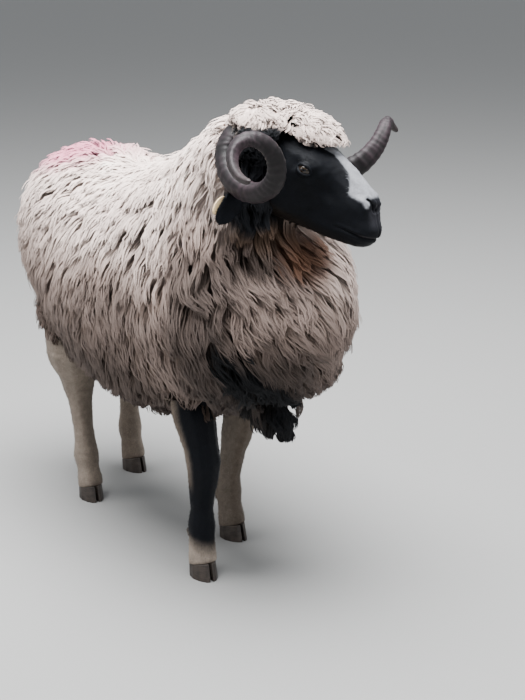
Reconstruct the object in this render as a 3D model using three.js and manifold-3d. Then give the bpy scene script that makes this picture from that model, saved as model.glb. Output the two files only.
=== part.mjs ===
// A ram of a long-woolled mountain breed, standing, life size, in full fleece.
//
// Millimetres, +Z up. The ram stands along +X, with its left side at +Y. Its head is turned to its left.
// The origin is on the floor, under the middle of the bounding box.
//
// Each part of the body is a field: a distance that is negative inside. Balls and limbs are blended into
// one another, and wrap() casts rays from a line inside a part and meshes the surface that they meet.
// These solids are the true outline, to the tips of the wool. Parts that meet are cut apart, with a thin
// gap.

import * as THREE from "three";
import { mergeVertices } from "three/addons/utils/BufferGeometryUtils.js";
import Module from "manifold-3d";

const wasm = await Module();
wasm.setup();

// ---------------------------------------------------------------- driving dimensions

const GAP = 0.35; // left between parts that meet

// Balls of the fleeced body: [x, z] of the middle, then half length, half width and half height.
const RUMP = { at: [-244, 573], radii: [214, 176, 194] };
const BARREL = { at: [-36, 513], radii: [267, 207, 233] };
const SHOULDERS = { at: [125, 515], radii: [228, 200, 234] };
const MANE = { at: [320, 552], radii: [238, 194, 206], tip: 12 };
const CREST = { from: [204, 0, 671], to: [410, -26, 800], thick: [130, 109] };
const NECK_CUT = { at: [196, 0, 560], normal: [0.86, 0, 0.5] };

const HEAD = { at: [444, -30, 841], yaw: 24, pitch: 23, roll: -4.5 };
const EYE = { at: [106, 52, 17], radius: 13 };
const EAR = {
  right: { root: [12, 40, -32], way: [0.15, 0.72, -0.68] },
  left: { root: [22, 42, -8], way: [0.6, 0.8, -0.12] },
  length: 124,
  width: 56,
  thick: 8,
  cup: 13,
};

// Each horn coils outwards about an axis across the head. Angles are in degrees, and lengths run from the
// root to the tip. The coil is oval: its first radius is along the head, its second up from it.
const HORNS = {
  right: {
    side: -1,
    middle: [7, -25],
    start: 19,
    turn: 545,
    coil: [
      [62, 30],
      [55, 27],
    ],
    reach: [37, 300],
    forward: 129,
    rise: 86,
  },
  left: {
    side: 1,
    middle: [11, -28],
    start: 13,
    turn: 480,
    coil: [
      [55, 17],
      [45, 27],
    ],
    reach: [36, 275],
    forward: 114,
    rise: 110,
  },
};
const HORN = { root: 21, tip: 3, ridges: 20, ridge: 1.2 };

// Each leg from the top down: [x, y, z, half width]. The last is the coronet, over the hoof.
const FRONT_LEG = [54, 44, 30, 27, 21.5, 21, 24, 22, 25];
const HIND_LEG = [85, 70, 38, 31, 22, 20.5, 24, 21, 24.5];
const LEGS = {
  front_right: {
    line: [
      [216, -80, 440],
      [272, -90, 350],
      [306, -84, 240],
      [302, -82, 212],
      [294, -81, 170],
      [289, -80, 108],
      [288, -80, 90],
      [292, -81, 48],
      [296, -82, 26],
    ],
    thick: FRONT_LEG,
    knee: 226,
    toe: -4,
  },
  front_left: {
    line: [
      [200, 78, 440],
      [196, 82, 350],
      [176, 74, 240],
      [170, 71, 212],
      [159, 69, 170],
      [150, 67, 108],
      [148, 67, 90],
      [160, 66, 48],
      [165, 66, 26],
    ],
    thick: FRONT_LEG,
    knee: 226,
    toe: 5,
  },
  hind_right: {
    line: [
      [-210, -88, 430],
      [-196, -98, 350],
      [-208, -92, 285],
      [-212, -90, 262],
      [-208, -87, 205],
      [-203, -82, 115],
      [-202, -81, 92],
      [-192, -80, 48],
      [-187, -80, 26],
    ],
    thick: HIND_LEG,
    knee: 262,
    toe: -5,
  },
  hind_left: {
    line: [
      [-235, 88, 430],
      [-270, 96, 350],
      [-322, 94, 285],
      [-330, 92, 262],
      [-322, 89, 205],
      [-314, 86, 115],
      [-312, 85, 92],
      [-300, 84, 48],
      [-295, 84, 26],
    ],
    thick: HIND_LEG,
    knee: 262,
    toe: 5,
  },
};
const TAIL = {
  line: [
    [-395, 0, 655],
    [-440, 2, 590],
    [-452, 4, 480],
    [-448, 6, 385],
  ],
  thick: [44, 50, 40, 22],
};
const BRISKET = { line: [[305, 0, 400], [440, 0, 344]], thick: [60, 31] };
const POUCH = { line: [[-238, 2, 350], [-246, 2, 286]], thick: [36, 40] };
const TAG = { at: [90, -27, -5], size: [38, 20, 3] };
const HOOF = { toeHeight: 36, heelHeight: 20, length: 34, width: 25, cleft: 5 };
const DEWCLAW = { height: 78, spread: 13, length: 22, thick: 8 };

const COLOURS = {
  wool: 0xcabcae,
  darkWool: 0x1b1817,
  face: 0x15161b,
  leg: 0x9d8a78,
  horn: 0x857a72,
  hoof: 0x4a4038,
  eye: 0x8a6a2c,
  tag: 0xe8d8a8,
};

// ---------------------------------------------------------------- fields

const v3 = (p) => new THREE.Vector3(...p);
const radians = THREE.MathUtils.degToRad;
const { clamp, lerp } = THREE.MathUtils;

// An ellipsoid at a centre, tipped nose down by some degrees.
function ball(centre, radii, down = 0) {
  const turn = new THREE.Quaternion().setFromAxisAngle(new THREE.Vector3(0, 1, 0), -radians(down));
  const c = v3(centre);
  const q = new THREE.Vector3();
  return (p) => {
    q.copy(p).sub(c).applyQuaternion(turn);
    const near = Math.hypot(q.x / radii[0], q.y / radii[1], q.z / radii[2]);
    const slope = Math.hypot(q.x / radii[0] ** 2, q.y / radii[1] ** 2, q.z / radii[2] ** 2);
    return slope < 1e-9 ? -Math.min(...radii) : (near * (near - 1)) / slope;
  };
}

// A round bar whose radius runs from one value to the other.
function limb(a, b, ra, rb) {
  const from = v3(a);
  const along = v3(b).sub(from);
  const q = new THREE.Vector3();
  return (p) => {
    q.copy(p).sub(from);
    const t = clamp(q.dot(along) / along.lengthSq(), 0, 1);
    return q.addScaledVector(along, -t).length() - lerp(ra, rb, t);
  };
}

// Several fields as one, with the creases between them filled to about the given size.
function blend(size, ...fields) {
  return (p) =>
    fields
      .map((field) => field(p))
      .reduce((a, b) => {
        const h = Math.max(size - Math.abs(a - b), 0) / size;
        return Math.min(a, b) - (h * h * size) / 4;
      });
}

const grown = (field, by) => (p) => field(p) - by;

// The same field on the left and on the right.
const pair = (make) => [make(1), make(-1)];

// ---------------------------------------------------------------- meshes

// A closed geometry from rings that all have the same number of points, with a point at each end.
function closedRings(first, rings, last) {
  const sides = rings[0].length;
  const points = [first, ...rings.flat(), last];
  const at = (i, j) => 1 + i * sides + (j % sides);
  const index = [];
  for (let j = 0; j < sides; j++) {
    index.push(0, at(0, j + 1), at(0, j));
    for (let i = 0; i + 1 < rings.length; i++) {
      index.push(at(i, j), at(i, j + 1), at(i + 1, j));
      index.push(at(i, j + 1), at(i + 1, j + 1), at(i + 1, j));
    }
    index.push(points.length - 1, at(rings.length - 1, j), at(rings.length - 1, j + 1));
  }
  const geometry = new THREE.BufferGeometry().setFromPoints(points);
  geometry.setIndex(index);
  return geometry;
}

// Where the surface of a field lies on a ray, found from outside.
function surfaceOn(field, origin, way, reach) {
  const p = new THREE.Vector3();
  const value = (t) => field(p.copy(origin).addScaledVector(way, t));
  let outside = reach;
  let inside = reach;
  while (inside > 0 && value(inside) > 0) {
    outside = inside;
    inside -= Math.max(value(inside) * 0.7, 1.5);
  }
  inside = Math.max(inside, 0);
  for (let k = 0; k < 24; k++) {
    const middle = (inside + outside) / 2;
    if (value(middle) > 0) outside = middle;
    else inside = middle;
  }
  return origin.clone().addScaledVector(way, inside);
}

// Meshes a field from rays that leave a curve inside it: rings along the curve, and a fan of them round
// each end. Up is where the first ray of each ring points.
function wrap({ line, field, rings, sides, up = [0, 0, 1], ends = 4, reach = 900, grow = 0 }) {
  const curve = new THREE.CatmullRomCurve3(line.map(v3), false, "centripetal");
  const surface = grow ? grown(field, grow) : field;
  const ringAt = (t, lean) => {
    const origin = curve.getPointAt(t);
    const along = curve.getTangentAt(t);
    const side = v3(up).cross(along).normalize();
    const top = along.clone().cross(side);
    return Array.from({ length: sides }, (_, j) => {
      const a = (j / sides) * 2 * Math.PI;
      const way = top.clone().multiplyScalar(Math.cos(a) * Math.cos(lean));
      way.addScaledVector(side, -Math.sin(a) * Math.cos(lean));
      way.addScaledVector(along, Math.sin(lean));
      return surfaceOn(surface, origin, way, reach);
    });
  };
  const pole = (t, sign) =>
    surfaceOn(surface, curve.getPointAt(t), curve.getTangentAt(t).multiplyScalar(sign), reach);
  const leans = Array.from({ length: ends }, (_, k) => ((k + 1) / (ends + 1)) * (Math.PI / 2));
  const list = [
    ...leans.toReversed().map((lean) => ringAt(0, -lean)),
    ...Array.from({ length: rings }, (_, i) => ringAt(i / (rings - 1), 0)),
    ...leans.map((lean) => ringAt(1, lean)),
  ];
  return closedRings(pole(0, -1), list, pole(1, 1));
}

// ---------------------------------------------------------------- solids

function toSolid(geometry, matrix = new THREE.Matrix4()) {
  const bare = new THREE.BufferGeometry();
  const flat = geometry.index ? geometry.toNonIndexed() : geometry;
  bare.setAttribute("position", flat.getAttribute("position").clone());
  const merged = mergeVertices(bare.applyMatrix4(matrix), 1e-3);
  return new wasm.Manifold(
    new wasm.Mesh({
      numProp: 3,
      vertProperties: merged.attributes.position.array,
      triVerts: new Uint32Array(merged.index.array),
    }),
  );
}

function toGeometry(solid) {
  const { vertProperties, triVerts } = solid.getMesh();
  const geometry = new THREE.BufferGeometry();
  geometry.setAttribute("position", new THREE.BufferAttribute(vertProperties, 3));
  geometry.setIndex(new THREE.BufferAttribute(triVerts, 1));
  const faceted = geometry.toNonIndexed();
  faceted.computeVertexNormals();
  return faceted;
}

// A big block whose face passes through a point, on the side that the normal points to.
function blockBeyond(point, normal, back = 0) {
  const size = 2400;
  const n = v3(normal).normalize();
  const matrix = new THREE.Matrix4().compose(
    v3(point).addScaledVector(n, size / 2 - back),
    new THREE.Quaternion().setFromUnitVectors(new THREE.Vector3(0, 0, 1), n),
    new THREE.Vector3(1, 1, 1),
  );
  return toSolid(new THREE.BoxGeometry(size, size, size), matrix);
}

const cutAway = (solid, ...others) => others.reduce((a, b) => a.subtract(b), solid);
const joined = (solid, ...others) => others.reduce((a, b) => a.add(b), solid);

// The two parts of a solid before and behind a plane, with the gap between them.
function partAt(solid, point, normal) {
  const opposite = normal.map((n) => -n);
  return [
    solid.subtract(blockBeyond(point, opposite, GAP / 2)),
    solid.subtract(blockBeyond(point, normal, GAP / 2)),
  ];
}

// The largest body of a solid, without crumbs that a cut has left.
function whole(solid) {
  return solid.decompose().sort((a, b) => b.volume() - a.volume())[0];
}

const ram = new THREE.Group();

function add(name, solid, colour, roughness = 0.95) {
  const material = new THREE.MeshStandardMaterial({ color: colour, roughness, metalness: 0 });
  const mesh = new THREE.Mesh(toGeometry(whole(solid)), material);
  mesh.name = name;
  ram.add(mesh);
}

// A frame at a place, turned to the left, then nose down, then rolled.
function frameAt({ at, yaw, pitch, roll }) {
  const euler = new THREE.Euler(radians(roll), radians(pitch), radians(yaw), "ZYX");
  const turn = new THREE.Quaternion().setFromEuler(euler);
  return new THREE.Matrix4().compose(v3(at), turn, new THREE.Vector3(1, 1, 1));
}

// ---------------------------------------------------------------- fleeced body

const middleBall = ({ at, radii, tip = 0 }) => ball([at[0], 0, at[1]], radii, tip);
const trunkField = blend(90, middleBall(RUMP), middleBall(BARREL), middleBall(SHOULDERS));
const neckField = blend(90, middleBall(MANE), limb(CREST.from, CREST.to, ...CREST.thick));
const fleeceWrap = (options) =>
  toSolid(
    wrap({
      line: [
        [-260, 0, 560],
        [-60, 0, 520],
        [150, 0, 545],
        [290, 0, 630],
        [392, -12, 765],
      ],
      field: blend(90, trunkField, neckField),
      rings: 19,
      sides: 22,
      ...options,
    }),
  );

// ---------------------------------------------------------------- head

// In the head's frame x runs from the poll to the muzzle, y to its left and z to the brow.
const headMatrix = frameAt(HEAD);

const craniumField = blend(
  22,
  ball([48, 0, 4], [62, 53, 57]),
  ball([86, 0, 15], [56, 54, 41]),
  ...pair((side) => ball([104, side * 42, 17], [26, 17, 21])),
);
const faceField = blend(
  20,
  ball([140, 0, 12], [86, 31, 39], 11),
  ball([194, 0, -12], [35, 29, 32], 8),
  ball([223, 0, -30], [20, 28, 20]),
  ...pair((side) => ball([214, side * 15, 2], [14, 11, 13])),
);
const cheekField = blend(
  22,
  ...pair((side) => ball([72, side * 27, -36], [52, 26, 47])),
  ...pair((side) => ball([132, side * 12, -36], [66, 19, 32], 4)),
  limb([62, 0, -70], [186, 0, -58], 26, 19),
  ball([218, 0, -53], [22, 21, 16]),
);
const headWrap = (options) =>
  toSolid(
    wrap({
      line: [
        [34, 0, -4],
        [120, 0, -14],
        [206, 0, -28],
      ],
      field: blend(22, craniumField, faceField, cheekField),
      rings: 18,
      sides: 20,
      reach: 200,
      ...options,
    }),
    headMatrix,
  );

// The mouth, which runs back from the lips and then on under the cheek.
const MOUTH = { at: [244, 0, -40], normal: [-0.12, 0, 1] };
const directed = (normal) => v3(normal).transformDirection(headMatrix).toArray();
const placed = (point) => v3(point).applyMatrix4(headMatrix).toArray();

// The woolly crown over the poll, with a forelock over the brow.
const crownField = blend(25, ball([-2, -6, 15], [72, 87, 64]), ball([68, 3, 62], [66, 50, 33], 4));
const crownWrap = (options) =>
  toSolid(
    wrap({
      line: [
        [-20, 0, 20],
        [40, 0, 44],
        [90, 0, 60],
      ],
      field: crownField,
      rings: 8,
      sides: 16,
      ends: 3,
      reach: 200,
      ...options,
    }),
    headMatrix,
  );

const eyeSolid = (side, grow = 0) => {
  const geometry = new THREE.SphereGeometry(EYE.radius + grow, 10, 7);
  const centre = new THREE.Matrix4().makeTranslation(EYE.at[0], side * EYE.at[1], EYE.at[2]);
  return toSolid(geometry, headMatrix.clone().multiply(centre));
};

// ---------------------------------------------------------------- ears

// A leaf along +X, cupped upwards, with a thick root.
function leaf({ length, width, thick, cup }, grow = 0) {
  const rings = [];
  const steps = 8;
  const sides = 10;
  for (let i = 0; i <= steps; i++) {
    const t = lerp(0.02, 0.98, i / steps);
    const half = (width / 2) * (0.42 + 0.9 * t) * Math.sqrt(1 - t ** 3) * 0.96 + grow;
    const deep = lerp(thick, thick * 0.35, t) + grow;
    rings.push(
      Array.from({ length: sides }, (_, j) => {
        const a = (j / sides) * 2 * Math.PI;
        const y = half * Math.cos(a);
        const lift = cup * (y / (width / 2)) ** 2 * (1 - 0.4 * t);
        return new THREE.Vector3(length * t, y, deep * Math.sin(a) * 0.8 + lift);
      }),
    );
  }
  return closedRings(new THREE.Vector3(-2, 0, 0), rings, new THREE.Vector3(length + grow, 0, 2));
}

// The ear hangs out to the side and down, with its hollow face to the front.
const earMatrix = (side) => {
  const mirror = (p) => v3([p[0], side * p[1], p[2]]);
  const lie = side > 0 ? EAR.left : EAR.right;
  const way = mirror(lie.way).normalize();
  const across = mirror([0.9, 0.35, 0.2]).cross(way).normalize();
  const turn = new THREE.Matrix4().makeBasis(way, across, way.clone().cross(across));
  return headMatrix.clone().multiply(turn.setPosition(mirror(lie.root)));
};

// The tag is a small blank plate behind the rear edge of the ear, with a stud through the ear.
function tagSolid(grow = 0) {
  const [length, width, thick] = TAG.size;
  const plate = new THREE.Shape().absellipse(0, 0, length / 2 + grow, width / 2 + grow, 0, 2 * Math.PI);
  const geometry = new THREE.ExtrudeGeometry(plate, {
    depth: thick + 2 * grow,
    bevelEnabled: false,
    curveSegments: 8,
  });
  geometry.translate(TAG.at[0], TAG.at[1], TAG.at[2] - grow);
  return toSolid(geometry, earMatrix(-1));
}

// ---------------------------------------------------------------- horns

function hornPoint({ side, middle, start, turn, coil, reach, forward, rise }, t) {
  const angle = radians(start + t * turn);
  const [long, tall] = coil.map((radii) => lerp(...radii, t));
  return new THREE.Vector3(
    middle[0] + forward * t - long * Math.sin(angle),
    side * lerp(...reach, t),
    middle[1] + rise * t + tall * Math.cos(angle),
  );
}

// A ridged horn, blunt three-cornered in section, that starts inside the head.
function hornWrap(shape, { grow = 0, ridge = HORN.ridge, steps = HORN.ridges * 2, sides = 7 } = {}) {
  const rings = [];
  for (let i = 0; i <= steps; i++) {
    const t = -0.06 + (1.055 * i) / steps;
    const along = hornPoint(shape, t + 0.004).sub(hornPoint(shape, t - 0.004)).normalize();
    const across = new THREE.Vector3(0, 1, 0).cross(along).normalize();
    const top = along.clone().cross(across);
    const taper = Math.min(1 - t, 1) ** 0.6;
    const size = lerp(HORN.tip, HORN.root, taper) + (i % 2 ? -1 : 1) * ridge * taper + grow;
    rings.push(
      Array.from({ length: sides }, (_, j) => {
        const a = (j / sides) * 2 * Math.PI;
        const out = size * (1 + 0.09 * Math.cos(3 * a));
        const p = hornPoint(shape, t).addScaledVector(across, out * Math.cos(a));
        return p.addScaledVector(top, out * Math.sin(a));
      }),
    );
  }
  const tip = hornPoint(shape, 1).addScaledVector(hornPoint(shape, 1).sub(hornPoint(shape, 0.98)), 0.3);
  return toSolid(closedRings(hornPoint(shape, -0.06), rings, tip), headMatrix);
}

// ---------------------------------------------------------------- tail and tufts

// A chain of limbs along a line.
const chain = ({ line, thick }, soft) =>
  blend(soft, ...line.slice(1).map((p, i) => limb(line[i], p, thick[i], thick[i + 1])));

const tailWrap = () =>
  toSolid(
    wrap({ line: TAIL.line, field: chain(TAIL, 20), rings: 7, sides: 10, up: [1, 0, 0], ends: 2 }),
  );
const brisketWrap = () =>
  toSolid(wrap({ line: BRISKET.line, field: chain(BRISKET, 1), rings: 4, sides: 10, ends: 2 }));
const pouchWrap = () =>
  toSolid(
    wrap({ line: POUCH.line, field: chain(POUCH, 1), rings: 2, sides: 10, up: [1, 0, 0], ends: 3 }),
  );

// ---------------------------------------------------------------- legs

const legMatrix = ({ line, toe }) => {
  const [x, y] = line.at(-1);
  return frameAt({ at: [x, y, 0], yaw: toe, pitch: 0, roll: 0 });
};

function legWrap({ line, thick }, grow = 0) {
  const parts = line.slice(1).map((p, i) => limb(line[i], p, thick[i], thick[i + 1]));
  const down = [line.at(-1)[0], line.at(-1)[1], 8];
  const shape = wrap({
    line: [...line, down],
    field: blend(14, ...parts, limb(line.at(-1), down, thick.at(-1), thick.at(-1))),
    rings: 15,
    sides: 10,
    up: [1, 0, 0],
    ends: 1,
    reach: 130,
    grow,
  });
  return toSolid(shape);
}

// The plane between a leg and its hoof, higher at the toe.
const CORONET = {
  at: [0, 0, (HOOF.toeHeight + HOOF.heelHeight) / 2],
  normal: [-(HOOF.toeHeight - HOOF.heelHeight) / (2 * HOOF.length), 0, 1],
};

function hoofSolid(leg) {
  const ring = (x, length, width, height) =>
    Array.from({ length: 12 }, (_, j) => {
      const a = (j / 12) * 2 * Math.PI;
      const y = width * Math.sin(a) * (1 - 0.2 * Math.cos(a));
      return new THREE.Vector3(x + length * Math.cos(a), y, height);
    });
  const { length, width } = HOOF;
  const shape = closedRings(
    new THREE.Vector3(6, 0, 0),
    [
      ring(6, length, width, 0),
      ring(5, length, width, 7),
      ring(-3, length - 6, width - 2, 60),
    ],
    new THREE.Vector3(-3, 0, 60),
  );
  const wedge = new THREE.Shape([
    new THREE.Vector2(-8, 0),
    new THREE.Vector2(60, -HOOF.cleft),
    new THREE.Vector2(60, HOOF.cleft),
  ]);
  const cleft = new THREE.ExtrudeGeometry(wedge, { depth: 120, bevelEnabled: false });
  const top = blockBeyond(CORONET.at, CORONET.normal, GAP / 2);
  const below = new THREE.Matrix4().makeTranslation(0, 0, -20);
  const hoof = cutAway(toSolid(shape), top, toSolid(cleft, below));
  return hoof.transform(legMatrix(leg).elements);
}

// The dewclaws grow from the back of the fetlock.
function dewclawSolid(leg, side) {
  const fetlock = leg.line.at(-3);
  const cone = new THREE.ConeGeometry(DEWCLAW.thick, DEWCLAW.length, 6);
  cone.rotateX(Math.PI);
  const at = [fetlock[0] - 25, fetlock[1], DEWCLAW.height];
  const place = frameAt({ at, yaw: leg.toe, pitch: 22, roll: 0 });
  place.multiply(new THREE.Matrix4().makeTranslation(0, side * DEWCLAW.spread, 0));
  place.multiply(new THREE.Matrix4().makeRotationX(Math.PI / 2));
  return toSolid(cone, place);
}

// ---------------------------------------------------------------- build

// Hollows are coarser and a little roomier than what lies in them.
const ROOM = { grow: 4.2, rings: 12, sides: 16, ends: 3 };
const [neck, trunk] = partAt(fleeceWrap(), NECK_CUT.at, NECK_CUT.normal);
const headHollow = headWrap(ROOM);
const crownHollow = crownWrap({ grow: GAP });
const hornHollows = Object.values(HORNS).map((shape) =>
  hornWrap(shape, { grow: 5, ridge: 0, steps: 34, sides: 9 }),
);
const earHollows = pair((side) => toSolid(leaf(EAR, GAP), earMatrix(side)));
const headGrown = headWrap({ grow: GAP });
const fleeceGrown = fleeceWrap({ grow: GAP });
const [skull, jaw] = partAt(headWrap(), placed(MOUTH.at), directed(MOUTH.normal));

add("trunk", trunk, COLOURS.wool);
add("neck", cutAway(neck, headHollow, crownHollow, ...hornHollows, ...earHollows), COLOURS.wool);
add("crown", cutAway(crownWrap(), headHollow, ...hornHollows, ...earHollows), COLOURS.wool);
add("head", cutAway(skull, ...pair((side) => eyeSolid(side, GAP))), COLOURS.face);
add("jaw", jaw, COLOURS.face);

for (const [name, shape] of Object.entries(HORNS)) {
  const { side } = shape;
  add("horn_" + name, cutAway(hornWrap(shape), headGrown), COLOURS.horn, 0.6);
  const ear = toSolid(leaf(EAR), earMatrix(side));
  add("ear_" + name, cutAway(ear, headGrown, ...hornHollows), COLOURS.face);
  add("eye_" + name, eyeSolid(side), COLOURS.eye, 0.15);
}
add("ear_tag", cutAway(tagSolid(), earHollows[1]), COLOURS.tag, 0.5);

add("tail", cutAway(tailWrap(), fleeceGrown), COLOURS.wool);
add("brisket", cutAway(brisketWrap(), fleeceGrown), COLOURS.darkWool);
const thighs = [LEGS.hind_right, LEGS.hind_left].map((leg) => legWrap(leg, GAP));
add("pouch", cutAway(pouchWrap(), fleeceGrown, ...thighs), COLOURS.wool);

for (const [name, leg] of Object.entries(LEGS)) {
  const matrix = legMatrix(leg);
  const coronet = v3(CORONET.at).applyMatrix4(matrix).toArray();
  const slope = v3(CORONET.normal).transformDirection(matrix).toArray();
  const [above] = partAt(legWrap(leg), coronet, slope);
  const [upper, lower] = partAt(above, [0, 0, leg.knee], [0, 0, 1]);
  const dewclaws = pair((side) => dewclawSolid(leg, side));
  add("upper_leg_" + name, cutAway(upper, fleeceGrown), COLOURS.leg);
  add("lower_leg_" + name, joined(lower, ...dewclaws), COLOURS.leg);
  add("hoof_" + name, hoofSolid(leg), COLOURS.hoof, 0.7);
}

// The ram stands over the origin.
const middle = new THREE.Box3().setFromObject(ram).getCenter(new THREE.Vector3());
for (const mesh of ram.children) mesh.geometry.translate(-middle.x, -middle.y, 0);

export default ram;
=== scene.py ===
# A horned ram in full fleece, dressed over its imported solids. Metres, +Z up, the ram stands along +X.

import math

import bmesh
import bpy
import numpy as np
from mathutils import Euler, Matrix, Vector
from mathutils.bvhtree import BVHTree
from mathutils.kdtree import KDTree


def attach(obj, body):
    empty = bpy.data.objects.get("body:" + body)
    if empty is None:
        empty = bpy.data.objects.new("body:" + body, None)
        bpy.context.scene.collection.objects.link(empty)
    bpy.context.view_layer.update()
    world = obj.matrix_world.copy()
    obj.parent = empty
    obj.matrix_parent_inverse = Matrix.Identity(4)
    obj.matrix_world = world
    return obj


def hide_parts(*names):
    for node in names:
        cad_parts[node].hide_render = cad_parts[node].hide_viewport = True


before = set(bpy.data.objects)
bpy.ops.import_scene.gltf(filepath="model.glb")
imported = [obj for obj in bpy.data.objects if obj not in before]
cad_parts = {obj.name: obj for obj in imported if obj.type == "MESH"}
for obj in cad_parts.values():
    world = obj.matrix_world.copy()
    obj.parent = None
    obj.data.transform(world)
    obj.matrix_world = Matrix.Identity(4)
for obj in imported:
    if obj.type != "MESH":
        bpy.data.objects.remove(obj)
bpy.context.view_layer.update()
bpy.ops.object.select_all(action="DESELECT")

# ---------------------------------------------------------------- hide
# The ram's hide from muzzle to pasterns, deep inside the solids by the depth of the fleece. It is made of
# merged copies of the solids, remeshed, rounded and drawn in: shells for the body, the head and each leg,
# that overlap and are joined as one piece but not welded. The body's is open where it ends inside the others.

TRUNK_SOLIDS = ("trunk", "neck", "crown", "tail", "pouch", "brisket")
HEAD_SOLIDS = ("head", "jaw", "ear_right", "ear_left")
LEG_NAMES = ("front_right", "front_left", "hind_right", "hind_left")
LEG_SOLIDS = [part + leg for leg in LEG_NAMES for part in ("upper_leg_", "lower_leg_")]
# how far the hide lies inside the coat, in metres
FLEECE_DEPTH = {
    "trunk": 0.036,
    "neck": 0.042,
    "crown": 0.014,
    "tail": 0.024,
    "pouch": 0.010,
    "brisket": 0.022,
}
THIGH_DEPTH = 0.009
SKIN_DEPTH = 0.0055
# how much the merged solids swell, and the grain of the form that they make
FORM_GROWTH, FORM_GRAIN = 0.0025, 0.0085


def added(name, data):
    """Puts a mesh, light or lens into the scene as an object."""
    piece = bpy.data.objects.new(name, data)
    bpy.context.scene.collection.objects.link(piece)
    return piece


def merged_copy(name, solids, grow):
    """One object made of merged copies of some solids, each a little swollen so that they overlap."""
    bm = bmesh.new()
    for solid in solids:
        bm.from_mesh(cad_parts[solid].data)
    bmesh.ops.remove_doubles(bm, verts=bm.verts, dist=1e-5)
    bm.normal_update()
    for vert in bm.verts:
        vert.co += vert.normal * grow
    mesh = bpy.data.meshes.new(name)
    bm.to_mesh(mesh)
    bm.free()
    return added(name, mesh)


def active(piece):
    """Makes a piece the only one selected."""
    bpy.ops.object.select_all(action="DESELECT")
    piece.select_set(True)
    bpy.context.view_layer.objects.active = piece
    return piece


def modified(piece, kind, **settings):
    """Adds one modifier and applies it."""
    active(piece)
    change = piece.modifiers.new(kind.lower(), kind)
    for setting, value in settings.items():
        setattr(change, setting, value)
    bpy.ops.object.modifier_apply(modifier=change.name)


def remeshed(piece, voxel):
    active(piece)
    piece.data.remesh_voxel_size = voxel
    piece.data.remesh_voxel_adaptivity = 0
    bpy.ops.object.voxel_remesh()
    return piece


def points_of(mesh):
    co = np.empty(len(mesh.vertices) * 3, np.float32)
    mesh.vertices.foreach_get("co", co)
    return co.reshape(-1, 3).astype(float)


def set_points(mesh, co):
    mesh.vertices.foreach_set("co", co.astype(np.float32).ravel())
    mesh.update()


def normals_of(mesh):
    n = np.empty(len(mesh.vertices) * 3, np.float32)
    mesh.vertex_normals.foreach_get("vector", n)
    return n.reshape(-1, 3).astype(float)


def edges_of(mesh):
    e = np.empty(len(mesh.edges) * 2, np.int32)
    mesh.edges.foreach_get("vertices", e)
    return e.reshape(-1, 2)


def averaged(values, edges):
    """Each point's value as the mean of its neighbours'."""
    total = np.zeros_like(values)
    count = np.zeros(len(values))
    for a, b in ((0, 1), (1, 0)):
        for k in range(values.shape[1]):
            total[:, k] += np.bincount(edges[:, a], values[edges[:, b], k], len(values))
        count += np.bincount(edges[:, a], minlength=len(values))
    return total / np.maximum(count, 1)[:, None]


def rounded(piece, rounds):
    """Takes the facets off a mesh. Each round draws it in and then swells it back."""
    co, edges = points_of(piece.data), edges_of(piece.data)
    for k in range(rounds):
        co += (averaged(co, edges) - co) * 0.55
        co -= (averaged(co, edges) - co) * 0.53
    set_points(piece.data, co)
    return piece


def smoothstep(low, high, x):
    t = np.clip((np.asarray(x, float) - low) / (high - low), 0, 1)
    return t * t * (3 - 2 * t)


# The head's own frame, from the poll to the muzzle along x, its left along y, up from the brow along z.
HEAD_FRAME = Matrix.Translation((0.33574, -0.04811, 0.841)) @ Euler(
    (math.radians(-4.5), math.radians(23), math.radians(24))
).to_matrix().to_4x4()
HEAD_TURN = np.array(HEAD_FRAME.to_3x3())
HEAD_PLACE = np.array(HEAD_FRAME.translation)


def in_head(co):
    """Points in the head's frame, in millimetres."""
    return (co - HEAD_PLACE) @ HEAD_TURN * 1000


def from_head(p):
    return np.asarray(p, float) / 1000 @ HEAD_TURN.T + HEAD_PLACE


# The outside of the fleece, as one form, with each point's nearest solid and its depth to the hide.
FLESH = [*TRUNK_SOLIDS, *HEAD_SOLIDS, *LEG_SOLIDS]
fleece = remeshed(merged_copy("fleece_form", FLESH, FORM_GROWTH), FORM_GRAIN)
rounded(fleece, 10)
base = 0
coords, faces, solid_of_face = [], [], []
for solid in FLESH:
    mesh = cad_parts[solid].data
    coords += [v.co.copy() for v in mesh.vertices]
    faces += [[base + i for i in p.vertices] for p in mesh.polygons]
    solid_of_face += [solid] * len(mesh.polygons)
    base += len(mesh.vertices)
solid_tree = BVHTree.FromPolygons(coords, faces)
fleece_points = points_of(fleece.data)
fleece_normals = normals_of(fleece.data)
fleece_edges = edges_of(fleece.data)
nearest_solid = np.array([solid_of_face[solid_tree.find_nearest(Vector(p))[2]] for p in fleece_points])
depth = np.full(len(fleece_points), SKIN_DEPTH)
for solid, value in FLEECE_DEPTH.items():
    depth[nearest_solid == solid] = value
for leg in LEG_NAMES:
    depth[nearest_solid == "upper_leg_" + leg] = THIGH_DEPTH
for k in range(3):
    depth = averaged(depth[:, None], fleece_edges)[:, 0]

# The hide under the fleece: the same form, drawn in along its rounded normals.
inward = fleece_normals.copy()
for k in range(6):
    inward = averaged(inward, fleece_edges)
    inward /= np.linalg.norm(inward, axis=1)[:, None]
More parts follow.
